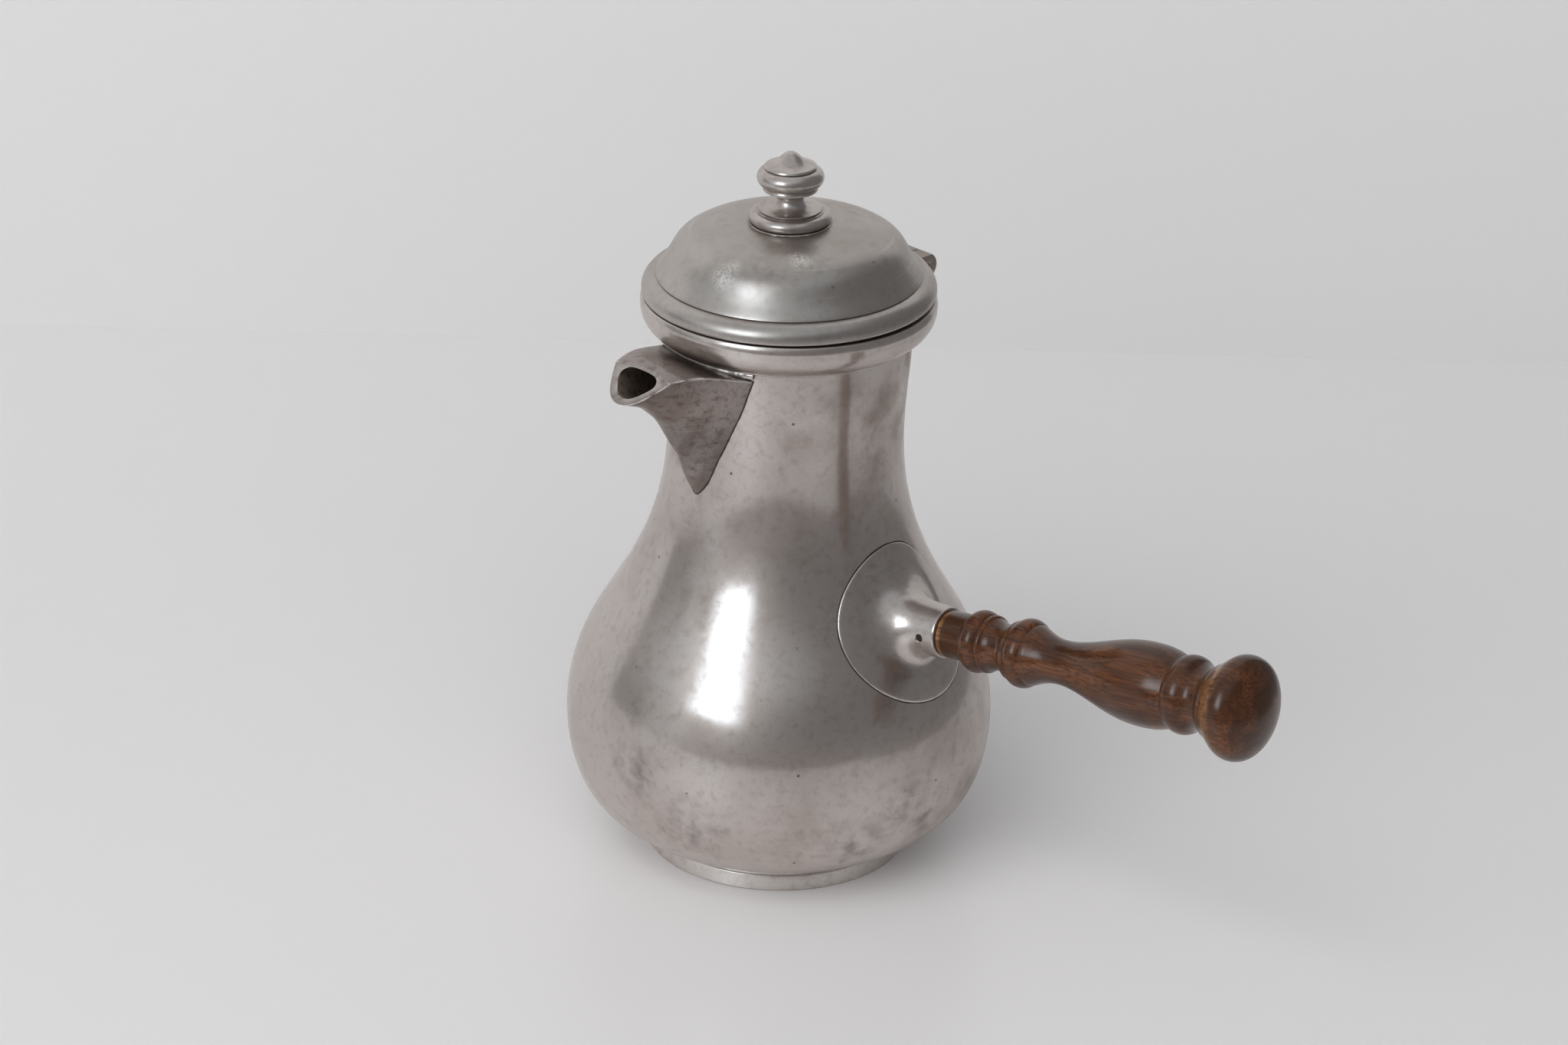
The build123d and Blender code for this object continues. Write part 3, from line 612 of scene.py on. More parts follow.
# (reach, height) along the keel, and (reach, half width, height) along the ridge, from the mouth in
KEEL = ((62.4, 159.8), (58.6, 158.1), (55.4, 155.6), (52.1, 152.5), (48.9, 148.2), (45.1, 141.6),
        (42.2, 137.4), (40.5, 133.6), (39.0, 129.1))
RIDGE = ((52.0, 13.6, 169.1), (42.8, 16.0, 167.9), (35.4, 18.0, 166.0))
FLANK_POINTS = 46
TOP_POINTS = 44
LENGTH_POINTS = 64
RIM_EASE = 0.45
RIM_STEPS = 5
IN_WALL = 1.0


def evenly(points, count):
    """The same line with evenly spaced points."""
    p = np.array(points, float)
    run = np.r_[0, np.cumsum(np.linalg.norm(np.diff(p, axis=0), axis=1))]
    return np.c_[[np.interp(np.linspace(0, run[-1], count + 1), run, p[:, i]) for i in range(p.shape[1])]].T


def on_mouth(v, q):
    return (-MOUTH_REACH - q * sin(MOUTH_SLANT), v, MOUTH_CORNER_Z - q * cos(MOUTH_SLANT))


def on_neck(v, z):
    return (-sqrt(body_radius(z) ** 2 - v * v), v, z)


def patch(first, last, low, high):
    """Points between four border lines: rows run along the low and high lines from first to last."""
    a = np.linspace(0, 1, len(low))[:, None, None]
    t = np.linspace(0, 1, len(first))[None, :, None]
    corners = ((1 - a) * (1 - t) * first[0] + (1 - a) * t * first[-1]
               + a * (1 - t) * last[0] + a * t * last[-1])
    return (1 - a) * first[None] + a * last[None] + (1 - t) * low[:, None] + t * high[:, None] - corners


mouth_side, neck_side = (evenly(smooth_line(line, 0.2, first=(0, 1, 0)), FLANK_POINTS)
                         for line in ([on_mouth(v, q) for v, q in MOUTH_SIDE],
                                      [on_neck(v, z) for z, v in SPOUT_EDGE]))
(mouth_v, mouth_q), (edge_z, edge_v) = MOUTH_SIDE[-1], SPOUT_EDGE[-1]
keel = evenly(smooth_line([on_mouth(*MOUTH_SIDE[0])] + [(-r, 0.0, z) for r, z in KEEL]
                          + [on_neck(0.0, SPOUT_EDGE[0][0])], 0.3), LENGTH_POINTS)
ridge = evenly(smooth_line([on_mouth(mouth_v, mouth_q)] + [(-r, v, z) for r, v, z in RIDGE]
                           + [on_neck(edge_v, edge_z)], 0.3), LENGTH_POINTS)
flank = patch(mouth_side, neck_side, keel, ridge)
mirrored = ridge * (1, -1, 1)
sides = np.linspace(1, -1, TOP_POINTS + 1)
mouth_top = np.array([on_mouth(mouth_v * s, mouth_q - CROWN * (1 - s * s)) for s in sides])
neck_top = np.array([on_neck(edge_v * s, edge_z + CROWN * (1 - s * s)) for s in sides])
top = patch(mouth_top, neck_top, ridge, mirrored)
RIDGE_COLUMNS = [FLANK_POINTS, FLANK_POINTS + TOP_POINTS]


def softened(loop, width=2):
    """The loop with its two ridges worn round."""
    near = np.zeros(len(loop))
    for corner in RIDGE_COLUMNS:
        away = np.abs((np.arange(len(loop)) - corner + len(loop) // 2) % len(loop) - len(loop) // 2)
        near = np.maximum(near, np.clip(1 - away / width, 0, 1))
    middle = (np.roll(loop, 1, axis=0) + np.roll(loop, -1, axis=0)) / 2
    return loop + (middle - loop) * 0.5 * near[:, None]


skin = [softened(np.concatenate([side, crown[1:], (side[1:-1] * (1, -1, 1))[::-1]]))
        for side, crown in zip(flank, top)]
mouth = skin[0]
down_mouth = -(mouth[:, 0] + MOUTH_REACH) / sin(MOUTH_SLANT)
hole_q = (CHANNEL[0][0] - MOUTH_REACH) / sin(MOUTH_SLANT)
turns = np.arctan2(hole_q - down_mouth, mouth[:, 1])
channel = [channel_loop(section, 0.0, turns) for section in CHANNEL[:-1]]


def eased_corner(before, corner, after, reach, steps=RIM_STEPS):
    """Rows that round the corner between two neighbouring faces."""
    come, go = before - corner, after - corner
    start = corner + come / np.linalg.norm(come, axis=1)[:, None] * reach
    end = corner + go / np.linalg.norm(go, axis=1)[:, None] * reach
    return [(1 - s) ** 2 * start + 2 * s * (1 - s) * corner + s * s * end for s in np.linspace(0, 1, steps)]


def between_rows(rows, fineness):
    """More rows between the given ones, on a smooth curve."""
    rows = np.array(rows)
    finer = []
    for i in range(len(rows) - 1):
        p0, p1, p2, p3 = rows[max(i - 1, 0)], rows[i], rows[i + 1], rows[min(i + 2, len(rows) - 1)]
        for s in np.linspace(0, 1, fineness, endpoint=False):
            finer.append(0.5 * (2 * p1 + (p2 - p0) * s + (2 * p0 - 5 * p1 + 4 * p2 - p3) * s * s
                                + (3 * p1 - p0 - 3 * p2 + p3) * s ** 3))
    return finer + [rows[-1]]


inner = between_rows(channel, 8)
into_wall = skin[-1] + np.array([IN_WALL, 0, 0])
rim = eased_corner(skin[2], mouth, inner[0], RIM_EASE) + eased_corner(mouth, inner[0], inner[2], 0.3)
rows = [into_wall] + skin[:0:-1] + rim + inner[1:]
SPOUT_METAL = pewter("spout_pewter", 0.17, Clean=(0.315, 0.252, 0.222, 1.0),
                     Dull=(0.150, 0.112, 0.094, 1.0), Stain=(0.100, 0.072, 0.058, 1.0), Polished=0.6,
                     Grain=1.0, Stains=1.0, Dirt_Depth=0.5, Turning=0.0, Scratches=0.1, Pits=0.9)
tree = SPOUT_METAL.node_tree
# The spout's ridges, on their top side, and its mouth's rim are painted lighter here as a painted
# highlight. The polish raised with it is the edges' real rubbed wear.
rubbed_edge_and_highlight_share = node(tree, "ShaderNodeAttribute", attribute_name="rubbed_edge_and_highlight").outputs["Fac"]
painted_edge_highlight = times(tree, rubbed_edge_and_highlight_share, between(tree, noise(tree, own_place(tree), 260.0, 3.0), 0.34, 0.52))
repainted(tree, "Base Color", lambda dull: mixed(tree, painted_edge_highlight, dull, (0.66, 0.61, 0.58, 1.0)))
repainted(tree, "Coat Weight", lambda polish: maths(tree, "MAXIMUM", polish, painted_edge_highlight))
# The channel's inside is brown with tarnish. Its colour is also painted far lighter than the body's pewter,
# as painted light standing in for light falling into the hollow.
CHANNEL_METAL_BROWN_AND_LIGHTENED = pewter("channel_pewter_brown_and_lightened", 0.3, Clean=(0.760, 0.640, 0.550, 1.0),
                       Dull=(0.520, 0.410, 0.340, 1.0), Stain=(0.220, 0.160, 0.125, 1.0), Polished=0.2,
                       Worn=0.6, Grain=1.0, Stains=0.6, Dirt_Depth=0.3, Turning=0.0, Pits=1.0)
spout = closed_loft("spout_beak", rows, SPOUT_METAL)
spout.data.materials.append(CHANNEL_METAL_BROWN_AND_LIGHTENED)
around = len(mouth)
# Rows of the loft: the skin from the neck out, then the rim's outer and inner corner, then the channel
OUTER_RIM = LENGTH_POINTS + 1
INNER_RIM = OUTER_RIM + RIM_STEPS
for face in spout.data.polygons:
    if min(face.vertices) // around >= INNER_RIM + 3:
        face.material_index = 1
# Where the painted highlight and the rubbed polish go: the outer and inner rim rows, and the ridge columns
# with their neighbours on the top side.
rim_rows = np.zeros(len(rows))
rim_rows[OUTER_RIM:OUTER_RIM + 4] = (0.8, 1.0, 1.0, 0.5)
rim_rows[INNER_RIM:INNER_RIM + 4] = (0.4, 0.8, 0.8, 0.3)
ridge_columns = np.zeros(around)
ridge_columns[RIDGE_COLUMNS] = 0.9
ridge_columns[[RIDGE_COLUMNS[0] + 1, RIDGE_COLUMNS[1] - 1]] = 0.6
on_skin = (np.arange(len(rows)) > 0) & (np.arange(len(rows)) < OUTER_RIM)
rim_columns = np.ones(around)
rim_columns[RIDGE_COLUMNS[0] + 2:RIDGE_COLUMNS[1] - 1] = 0.2
rubbed_edge_and_highlight = np.maximum(rim_rows[:, None] * rim_columns[None], on_skin[:, None] * ridge_columns[None])
rubbed_edge_and_highlight[INNER_RIM:] = rim_rows[INNER_RIM:, None]
spout.data.attributes.new("rubbed_edge_and_highlight", "FLOAT", "POINT").data.foreach_set("value", rubbed_edge_and_highlight.ravel())
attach(spout, "pot")
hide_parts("spout")

# ---------------------------------------------------------------- solder
# Soft solder run round the foot of the spout, under the collar and round the handle's plate. It is
# lumpy, bright under the collar, and dark brown in the two seams.
SOLDER_FLATNESS = 0.7
COLLAR_SOLDER_TURN = radians(31)


def bead_along(name, path, out, widths, heights, material, closed=False, around=10):
    """A lumpy rod of solder along a path. At each point it is flattened against the surface that
    the out direction leaves."""
    path, out = np.array(path, float), np.array(out, float)
    run = np.roll(path, -1, axis=0) - np.roll(path, 1, axis=0) if closed else np.gradient(path, axis=0)
    run /= np.linalg.norm(run, axis=1)[:, None]
    side = np.cross(run, out)
    side /= np.linalg.norm(side, axis=1)[:, None]
    out = np.cross(side, run)
    turns = np.linspace(0, 2 * pi, around, endpoint=False)
    loops = [p + w * (np.cos(turns)[:, None] * a) + h * (np.sin(turns)[:, None] * b)
             for p, a, b, w, h in zip(path, side, out, widths, heights)]
    return closed_loft(name, loops, material, 60.0, ends=not closed)


def lumps(count, low, high, seed, smoothness=3):
    """Seeded sizes that rise and fall along a bead."""
    values = np.random.default_rng(seed).random(count + 2 * smoothness)
    kernel = np.hanning(2 * smoothness + 1)
    values = np.convolve(values, kernel / kernel.sum(), mode="same")[smoothness:-smoothness]
    values = (values - values.min()) / (values.max() - values.min())
    return low + (high - low) * values


SEAM_METAL = pewter("seam_pewter", Clean=(0.11, 0.082, 0.068, 1.0), Dull=(0.055, 0.040, 0.032, 1.0),
                    Polished=0.05, Worn=0.6, Turning=0.0, Scratches=0.0)
edge_path = np.concatenate([neck_side[::-1] * (1, -1, 1), neck_side[1:]])
edge_path = evenly(smooth_line(edge_path, 0.5), 170)
edge_out = np.c_[edge_path[:, :2], 0 * edge_path[:, 2]]
edge_out /= np.linalg.norm(edge_out, axis=1)[:, None]
widths = lumps(len(edge_path), 0.18, 0.34, 11)
spout_solder = bead_along("spout_solder", edge_path, edge_out, widths, widths * SOLDER_FLATNESS, SEAM_METAL)
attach(spout_solder, "pot")

FILLET_METAL = pewter("fillet_pewter", 0.12, Clean=(0.60, 0.55, 0.515, 1.0), Dull=(0.34, 0.28, 0.245, 1.0),
                      Polished=1.0, Grain=0.6, Stains=0.6, Dirt_Depth=0.3, Turning=0.0, Scratches=0.1,
                      Pits=0.8)
turns = np.linspace(-COLLAR_SOLDER_TURN, COLLAR_SOLDER_TURN, 90)
fillet_out = np.c_[-np.cos(turns), np.sin(turns), 0 * turns]
fillet_path = (COLLAR_FOOT_R + 0.5) * fillet_out + (0, 0, COLLAR_FOOT_Z - 0.3)
widths = lumps(len(turns), 1.1, 1.7, 5)
collar_solder = bead_along("collar_solder", fillet_path, fillet_out, widths, widths * SOLDER_FLATNESS,
                           FILLET_METAL)
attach(collar_solder, "pot")

# ---------------------------------------------------------------- handle socket
# Cast pewter plate that follows the body and flares up into a tapered socket, soldered on. A peg
# hole is drilled across the socket.
HANDLE_TURN = radians(-83.5)
HANDLE_LIFT = radians(6.0)
HANDLE_Z = 81.8
PLATE_R = 24.0
PLATE_Z = 86.9
PLATE_REACH = 48.7
PLATE_LIFT = radians(29.6)
PLATE_THICKNESS = 1.1
SOCKET_END = 64.5
SOCKET_END_R = 7.65
SOCKET_SLOPE = tan(radians(4.0))
SOCKET_FILLET = 11.5
BORE_R = 5.65
BORE_FLOOR = 54.4
PEG_PLACE = 59.5
PEG_R = 1.2
PEG_HOLE_R = PEG_R + 0.05
PEG_HOLE_LENGTH = 30.0
PLATE_SUNK = 0.25
CONE_FOOT = 20.0
HALVINGS = 48
SOCKET_TURNS = np.linspace(0, 2 * pi, 144, endpoint=False)
CIRCLE = np.c_[np.cos(SOCKET_TURNS), np.sin(SOCKET_TURNS)]
# (in from the plate's edge, height over the body) of its rounded edge, and the rings of its underside
PLATE_EDGE = ((0.0, 0.0), (0.0, 0.22), (0.12, 0.36), (0.38, 0.46), (0.75, 0.53), (1.3, 0.58))
PLATE_UNDER = (0.4, 8.0, 16.0, 21.0, PLATE_R - 0.8)


def handle_frame(lift=HANDLE_LIFT, reach=0.0, z=HANDLE_Z):
    """Origin and the side, up and outward directions of a plane square to the handle."""
    turn = HANDLE_TURN
    out = np.array([cos(turn) * cos(lift), sin(turn) * cos(lift), sin(lift)])
    side = np.array([-sin(turn), cos(turn), 0.0])
    return np.array([reach * cos(turn), reach * sin(turn), z]), side, np.cross(out, side), out


def on_body(start, direction, lifted=0.0):
    """Where lines from outside along a direction meet the body, moved out by the lift."""
    start = np.asarray(start, float)
    low, high = np.full(len(start), -60.0), np.full(len(start), 60.0)
    for _ in range(HALVINGS):
        middle = (low + high) / 2
        place = start + middle[:, None] * direction
        inside_body = np.hypot(place[:, 0], place[:, 1]) < body_radius(place[:, 2]) + lifted
        low, high = np.where(inside_body, middle, low), np.where(inside_body, high, middle)
    return start + ((low + high) / 2)[:, None] * direction


axis_start, axis_side, axis_up, axis_out = handle_frame()
plate_start, plate_side, plate_up, plate_out = handle_frame(PLATE_LIFT, PLATE_REACH, PLATE_Z)
ring = CIRCLE[:, :1] * axis_side + CIRCLE[:, 1:] * axis_up


def cone_ring(place, radius=None):
    radius = SOCKET_END_R + (SOCKET_END - place) * SOCKET_SLOPE if radius is None else radius
    return axis_start + place * axis_out + radius * ring


def body_normal(points):
    """Outward directions of the body's surface near the points."""
    z = points[:, 2]
    slope = body_radius(z + 0.5) - body_radius(z - 0.5)
    flat = points[:, :2] / np.hypot(points[:, 0], points[:, 1])[:, None]
    normal = np.c_[flat, -slope]
    return normal / np.linalg.norm(normal, axis=1)[:, None]


# Where the cone meets the plate, found by halving
low, high = cone_ring(SOCKET_END), cone_ring(CONE_FOOT)
near, far = np.zeros(len(ring)), np.ones(len(ring))
for _ in range(HALVINGS):
    share = (near + far) / 2
    place = low + (high - low) * share[:, None]
    outside_body = np.hypot(place[:, 0], place[:, 1]) > body_radius(place[:, 2]) + PLATE_THICKNESS
    near, far = np.where(outside_body, share, near), np.where(outside_body, far, share)
root = low + (high - low) * ((near + far) / 2)[:, None]
flat_root = np.c_[(root - plate_start) @ plate_side, (root - plate_start) @ plate_up]


def plate_ring(flat, lifted):
    """A ring given in the plate's own plane, laid on the body and lifted from it."""
    base = on_body(plate_start + flat[:, :1] * plate_side + flat[:, 1:] * plate_up, plate_out)
    return base + lifted * body_normal(base)


def plate_between(share, lifted):
    """A ring part of the way from the plate's edge to the foot of the cone."""
    edge = (PLATE_R - 1.4) * CIRCLE
    return plate_ring(edge + (flat_root - edge) * share, lifted)


along = [plate_between(share, 0.6 + (PLATE_THICKNESS - 0.6) * min(1.0, share / 0.4))
         for share in np.linspace(0.06, 1.0, 24)]
cone = [root + (cone_ring(SOCKET_END) - root) * share for share in np.linspace(0, 1, 26)[1:]]
path = np.array(along + cone)
steps = np.linalg.norm(np.diff(path, axis=0), axis=2)
run = np.concatenate([np.zeros((1, len(ring))), np.cumsum(steps, axis=0)])
bend = run[len(along) - 1]
trumpet = path.copy()
for j in range(len(ring)):
    at = run[:, j] - bend[j]
    reach = min(SOCKET_FILLET, 0.85 * bend[j], 0.6 * (run[-1, j] - bend[j]))
    start = np.array([np.interp(bend[j] - reach, run[:, j], path[:, j, i]) for i in range(3)])
    end = np.array([np.interp(bend[j] + reach, run[:, j], path[:, j, i]) for i in range(3)])
    corner = path[len(along) - 1, j]
    share = np.clip((at + reach) / (2 * reach), 0, 1)[:, None]
    curve = (1 - share) ** 2 * start + 2 * share * (1 - share) * corner + share ** 2 * end
    trumpet[:, j] = np.where((np.abs(at) < reach)[:, None], curve, path[:, j])
edge_rows = [plate_ring((PLATE_R - inwards) * CIRCLE, height) for inwards, height in PLATE_EDGE]
mouth_rows = [cone_ring(SOCKET_END - 0.5), cone_ring(SOCKET_END - 0.12, SOCKET_END_R - 0.1),
              cone_ring(SOCKET_END, SOCKET_END_R - 0.5), cone_ring(SOCKET_END, BORE_R),
              cone_ring(BORE_FLOOR, BORE_R), cone_ring(BORE_FLOOR, 0.4)]
under_rows = [plate_ring(radius * CIRCLE, -PLATE_SUNK) for radius in PLATE_UNDER]
SOCKET_METAL = pewter("socket_pewter", 0.17, Stains=0.5, Turning=0.0, Scratches=0.15, Pits=0.6)
socket = closed_loft("handle_socket_piece", edge_rows + list(trumpet[:-1]) + mouth_rows + under_rows,
                     SOCKET_METAL)


def rod(name, start, direction, length, radius, material, rounded=0.15, around=32):
    """A round pin with slightly rounded ends, centred on its start."""
    direction = np.array(direction, float)
    side = np.cross(direction, (0.3, 0.2, 1.0))
    side /= np.linalg.norm(side)
    other = np.cross(direction, side)
    turns = np.linspace(0, 2 * pi, around, endpoint=False)
    circle = np.cos(turns)[:, None] * side + np.sin(turns)[:, None] * other
    half = length / 2
    ends = ((-half, radius - rounded), (-half + rounded, radius), (half - rounded, radius),
            (half, radius - rounded))
    return closed_loft(name, [start + direction * place + circle * r for place, r in ends], material,
                       ends=True)


peg_middle = axis_start + PEG_PLACE * axis_out
cut(socket, rod("peg_tool", peg_middle, axis_side, PEG_HOLE_LENGTH, PEG_HOLE_R, SOCKET_METAL))
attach(socket, "pot")
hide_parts("handle_socket")

plate_edge = plate_ring((PLATE_R + 0.1) * CIRCLE, 0.0)
widths = lumps(len(plate_edge), 0.16, 0.34, 23)
plate_solder = bead_along("plate_solder", plate_edge, body_normal(plate_edge), widths,
                          widths * SOLDER_FLATNESS, SEAM_METAL, closed=True)
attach(plate_solder, "pot")

# ---------------------------------------------------------------- handle peg
# Dark iron peg driven across the socket and the grip's tenon, which holds the handle. Its ends sit
# just below the socket's surface.
PEG_LENGTH = 2 * (SOCKET_END_R + (SOCKET_END - PEG_PLACE) * SOCKET_SLOPE - 0.5)

PEG_IRON, tree = blank_material("peg_iron")
rust = noise(tree, own_place(tree), 900.0, 4.0)
tone = mixed(tree, rust, (0.020, 0.014, 0.011, 1.0), (0.075, 0.040, 0.024, 1.0))
relief = node(tree, "ShaderNodeBump", {"Height": rust, "Strength": 0.6, "Distance": 1e-4}).outputs[0]
shaded(tree, {"Base Color": tone, "Roughness": 0.6, "Metallic": 0.6, "Normal": relief})
peg = rod("peg", peg_middle, axis_side, PEG_LENGTH, PEG_R, PEG_IRON, 0.25)
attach(peg, "pot")
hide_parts("handle_peg")

# ---------------------------------------------------------------- wooden handle
# Turned grip of dark fruitwood with a varnish that shines: tenon, shoulder, beads, vase, cove and
# knob. The varnish is worn through to tan at the shoulder and round the knob's edge.
S = SOCKET_END
GRIP = ([(0.0, S - 10), (5.55, S - 10), (5.6, S - 9.7), (5.6, S), (6.7, S), (7.1, S + 1.2), (7.15, S + 8.8),
         (7.6, S + 9.2)] + arc((7.6, S + 9.2), (9.4, S + 12.6), (8.0, S + 15.2), 16)
        + arc((8.0, S + 15.2), (8.7, S + 16.1), (8.0, S + 17.3), 8)
        + arc((8.0, S + 17.3), (7.05, S + 20.6), (8.2, S + 24.6), 12) + [(8.9, S + 24.9), (9.2, S + 26.4)]
        + arc((9.2, S + 26.4), (10.35, S + 29.4), (8.9, S + 32.3), 14) + [(8.9, S + 32.9)])
GRIP += smooth_line([(8.9, S + 32.9), (7.16, S + 37.5), (6.57, S + 41.5), (7.6, S + 49.5), (9.8, S + 57.5),
                     (11.76, S + 65.5), (12.37, S + 72.5), (11.8, S + 79.0), (10.5, S + 83.3)], 1.2)[1:]
GRIP += (arc((10.5, S + 83.3), (11.6, S + 86.6), (10.4, S + 89.8), 14)
         + arc((10.4, S + 89.8), (9.45, S + 92.6), (10.2, S + 95.2), 12)
         + [(11.0, S + 96.0), (11.3, S + 97.0)])
GRIP += smooth_line([(11.3, S + 97.0), (13.6, S + 100.0), (15.0, S + 102.2), (15.4, S + 104.2),
                     (14.6, S + 107.2), (12.0, S + 109.6), (7.0, S + 111.6), (0.0, S + 112.5)],
                    0.7, first=(0.75, 1.0), last=(-1, 0))[1:]
handle_matrix = Matrix([[*row, offset] for row, offset in zip(np.c_[axis_side, axis_up, axis_out].tolist(),
                                                              (axis_start * MM).tolist())] + [[0, 0, 0, 1]])

WOOD, tree = blank_material("handle_wood")
local = node(tree, "ShaderNodeMapping", {"Vector": own_place(tree),
                                         "Location": tuple(handle_matrix.to_translation()),
                                         "Rotation": tuple(handle_matrix.to_euler())},
             vector_type="TEXTURE").outputs[0]
along_handle = node(tree, "ShaderNodeSeparateXYZ", {0: local}).outputs[2]
long_grain = node(tree, "ShaderNodeMapping", {"Vector": local, "Scale": (620.0, 620.0, 16.0)}).outputs[0]
fine = noise(tree, long_grain, 2.2, 5.0, Roughness=0.6, Distortion=0.3)
figure = node(tree, "ShaderNodeMapping", {"Vector": local, "Scale": (70.0, 70.0, 9.0)}).outputs[0]
streak = between(tree, fine, 0.30, 0.74)
pale = between(tree, noise(tree, figure, 1.6, 2.0, Distortion=0.8), 0.42, 0.66)
wood = mixed(tree, times(tree, streak, plus(tree, pale, 0.25), clamp=True),
             (0.024, 0.009, 0.004, 1.0), (0.132, 0.047, 0.016, 1.0))


def band(low, high, soft):
    """A mask along the handle, between two places in metres from the pot's axis."""
    return times(tree, between(tree, along_handle, low - soft, low + soft),
                 between(tree, along_handle, high + soft, high - soft))


shoulder = band((S - 0.5) * MM, (S + 1.7) * MM, 0.0006)
knob_edge = band((S + 98.0) * MM, (S + 102.0) * MM, 0.0018)
worn = times(tree, plus(tree, shoulder, times(tree, knob_edge, 0.85), clamp=True),
             between(tree, noise(tree, long_grain, 1.1, 3.0), 0.25, 0.55))
tan_wood = mixed(tree, streak, (0.13, 0.060, 0.021, 1.0), (0.30, 0.145, 0.052, 1.0))
# Painted shade: the creases between the beads are darkened nearly to black where the surface is hemmed in.
painted_crease_shade = node(tree, "ShaderNodeAmbientOcclusion", {"Distance": 0.003}, samples=8).outputs["AO"]
tone = mixed(tree, between(tree, painted_crease_shade, 0.75, 0.35), mixed(tree, worn, wood, tan_wood),
             (0.010, 0.005, 0.004, 1.0))
relief = node(tree, "ShaderNodeBump", {"Height": fine, "Strength": 0.45, "Distance": 1.2e-4}).outputs[0]
shaded(tree, {"Base Color": tone, "Roughness": plus(tree, 0.24, times(tree, fine, 0.16)), "Normal": relief,
              "Specular IOR Level": 0.1, "Coat Weight": 0.6, "Coat Roughness": 0.17})
grip = turned_piece("grip", eased(GRIP), WOOD, 160, 0.10, handle_matrix)
cut(grip, rod("grip_peg_tool", peg_middle, axis_side, PEG_HOLE_LENGTH, PEG_HOLE_R, WOOD))
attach(grip, "pot")
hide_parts("wooden_handle")

# ---------------------------------------------------------------- lid
# Turned pewter dome with a beaded flange that closes on the rim. A shallow groove parts the bead
# from the dome, and brown dirt has settled in it. The lid stands a little open at the hinge.
SEAT_Z = RIM_Z + 0.3
LID_R = 43.6
LID_BEAD_HEIGHT = 5.9
LID_NECK_R = 39.5
LID_HEIGHT = 21.8
LID_WALL = 1.7
LID_GROOVE = 0.35
LID_TILT = asin(1.4 / (2 * LID_R))
DOME_SHAPE = ((0.0, 1.0), (0.17, 0.953), (0.42, 0.892), (0.61, 0.843), (0.74, 0.777), (0.87, 0.653),
              (0.955, 0.45), (0.99, 0.22), (1.0, 0.0))
BEZEL_R = MOUTH_R - WALL - 0.8
BEZEL_INNER_R = BEZEL_R - 1.3
lid_matrix = (Matrix.Translation((-LID_R * MM, 0, SEAT_Z * MM)) @ Matrix.Rotation(-LID_TILT, 4, "Y")
              @ Matrix.Translation((LID_R * MM, 0, 0)))

rise = LID_HEIGHT - LID_BEAD_HEIGHT
dome = [(LID_NECK_R * part, LID_BEAD_HEIGHT + share * rise) for share, part in DOME_SHAPE]
dome_out = smooth_line(dome, 0.9, first=(-0.5, 0.85), last=(-1, 0))
dome_in = inset(dome, LID_WALL)
dome_in[-1] = (0.0, LID_HEIGHT - LID_WALL)
lid = outline((BEZEL_INNER_R, 0.0), (LID_R - 0.6, 0.0), ((LID_R - 0.15, 0.3), (LID_R, 0.9)),
              ((LID_R - 1.2, LID_BEAD_HEIGHT * 0.72), (LID_NECK_R, LID_BEAD_HEIGHT - LID_GROOVE)),
              (LID_NECK_R - LID_GROOVE, LID_BEAD_HEIGHT - LID_GROOVE / 2))
lid += dome_out + smooth_line(dome_in, 0.9, last=(-1, 0))[::-1]
lid += [(dome_in[0][0], LID_BEAD_HEIGHT - LID_WALL), (BEZEL_INNER_R, LID_WALL), (BEZEL_INNER_R, 0.0)]
LID_METAL = pewter("lid_pewter", 0.27, Clean=(0.430, 0.385, 0.350, 1.0), Dull=(0.375, 0.330, 0.296, 1.0),
                   Dirt=(0.150, 0.100, 0.070, 1.0), Polished=0.75, Grain=0.4, Stains=0.35, Turning=0.30,
                   Scratches=0.3, Pits=0.6)
# First a dull patch, then the bright scuffs in it
tint_patches(LID_METAL, ((-26, -17, 196, 11), (-14, -23, 198, 8), (-31, -3, 196, 6)),
          (0.330, 0.275, 0.245, 1.0), 0.5, 500.0)
tint_patches(LID_METAL, ((-32.9, -6.8, 194, 5), (-30.6, -7.5, 196, 4), (-15.7, -20.8, 198.6, 4.5),
                      (-15.7, -18.8, 198.9, 3.5)), (0.95, 0.93, 0.90, 1.0), 0.7, 1500.0)
lid_piece = turned_piece("lid", eased(lid, 0.3), LID_METAL, 288, 0.10, lid_matrix)
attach(lid_piece, "lid")
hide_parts("lid_shell")

# ---------------------------------------------------------------- lid bezel
# Plain pewter ring soldered under the lid. It drops inside the mouth, a little clear of the wall,
# and keeps the lid central.
bezel = [(BEZEL_INNER_R, -2.0), (BEZEL_INNER_R, -4.7), (BEZEL_INNER_R + 0.3, -5.0), (BEZEL_R - 0.3, -5.0),
         (BEZEL_R, -4.7), (BEZEL_R, 0.0), (BEZEL_INNER_R, 0.0), (BEZEL_INNER_R, -2.0)]
bezel_piece = turned_piece("bezel", bezel, LID_METAL, 192, 0.0, lid_matrix)
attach(bezel_piece, "lid")
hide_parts("lid_bezel")

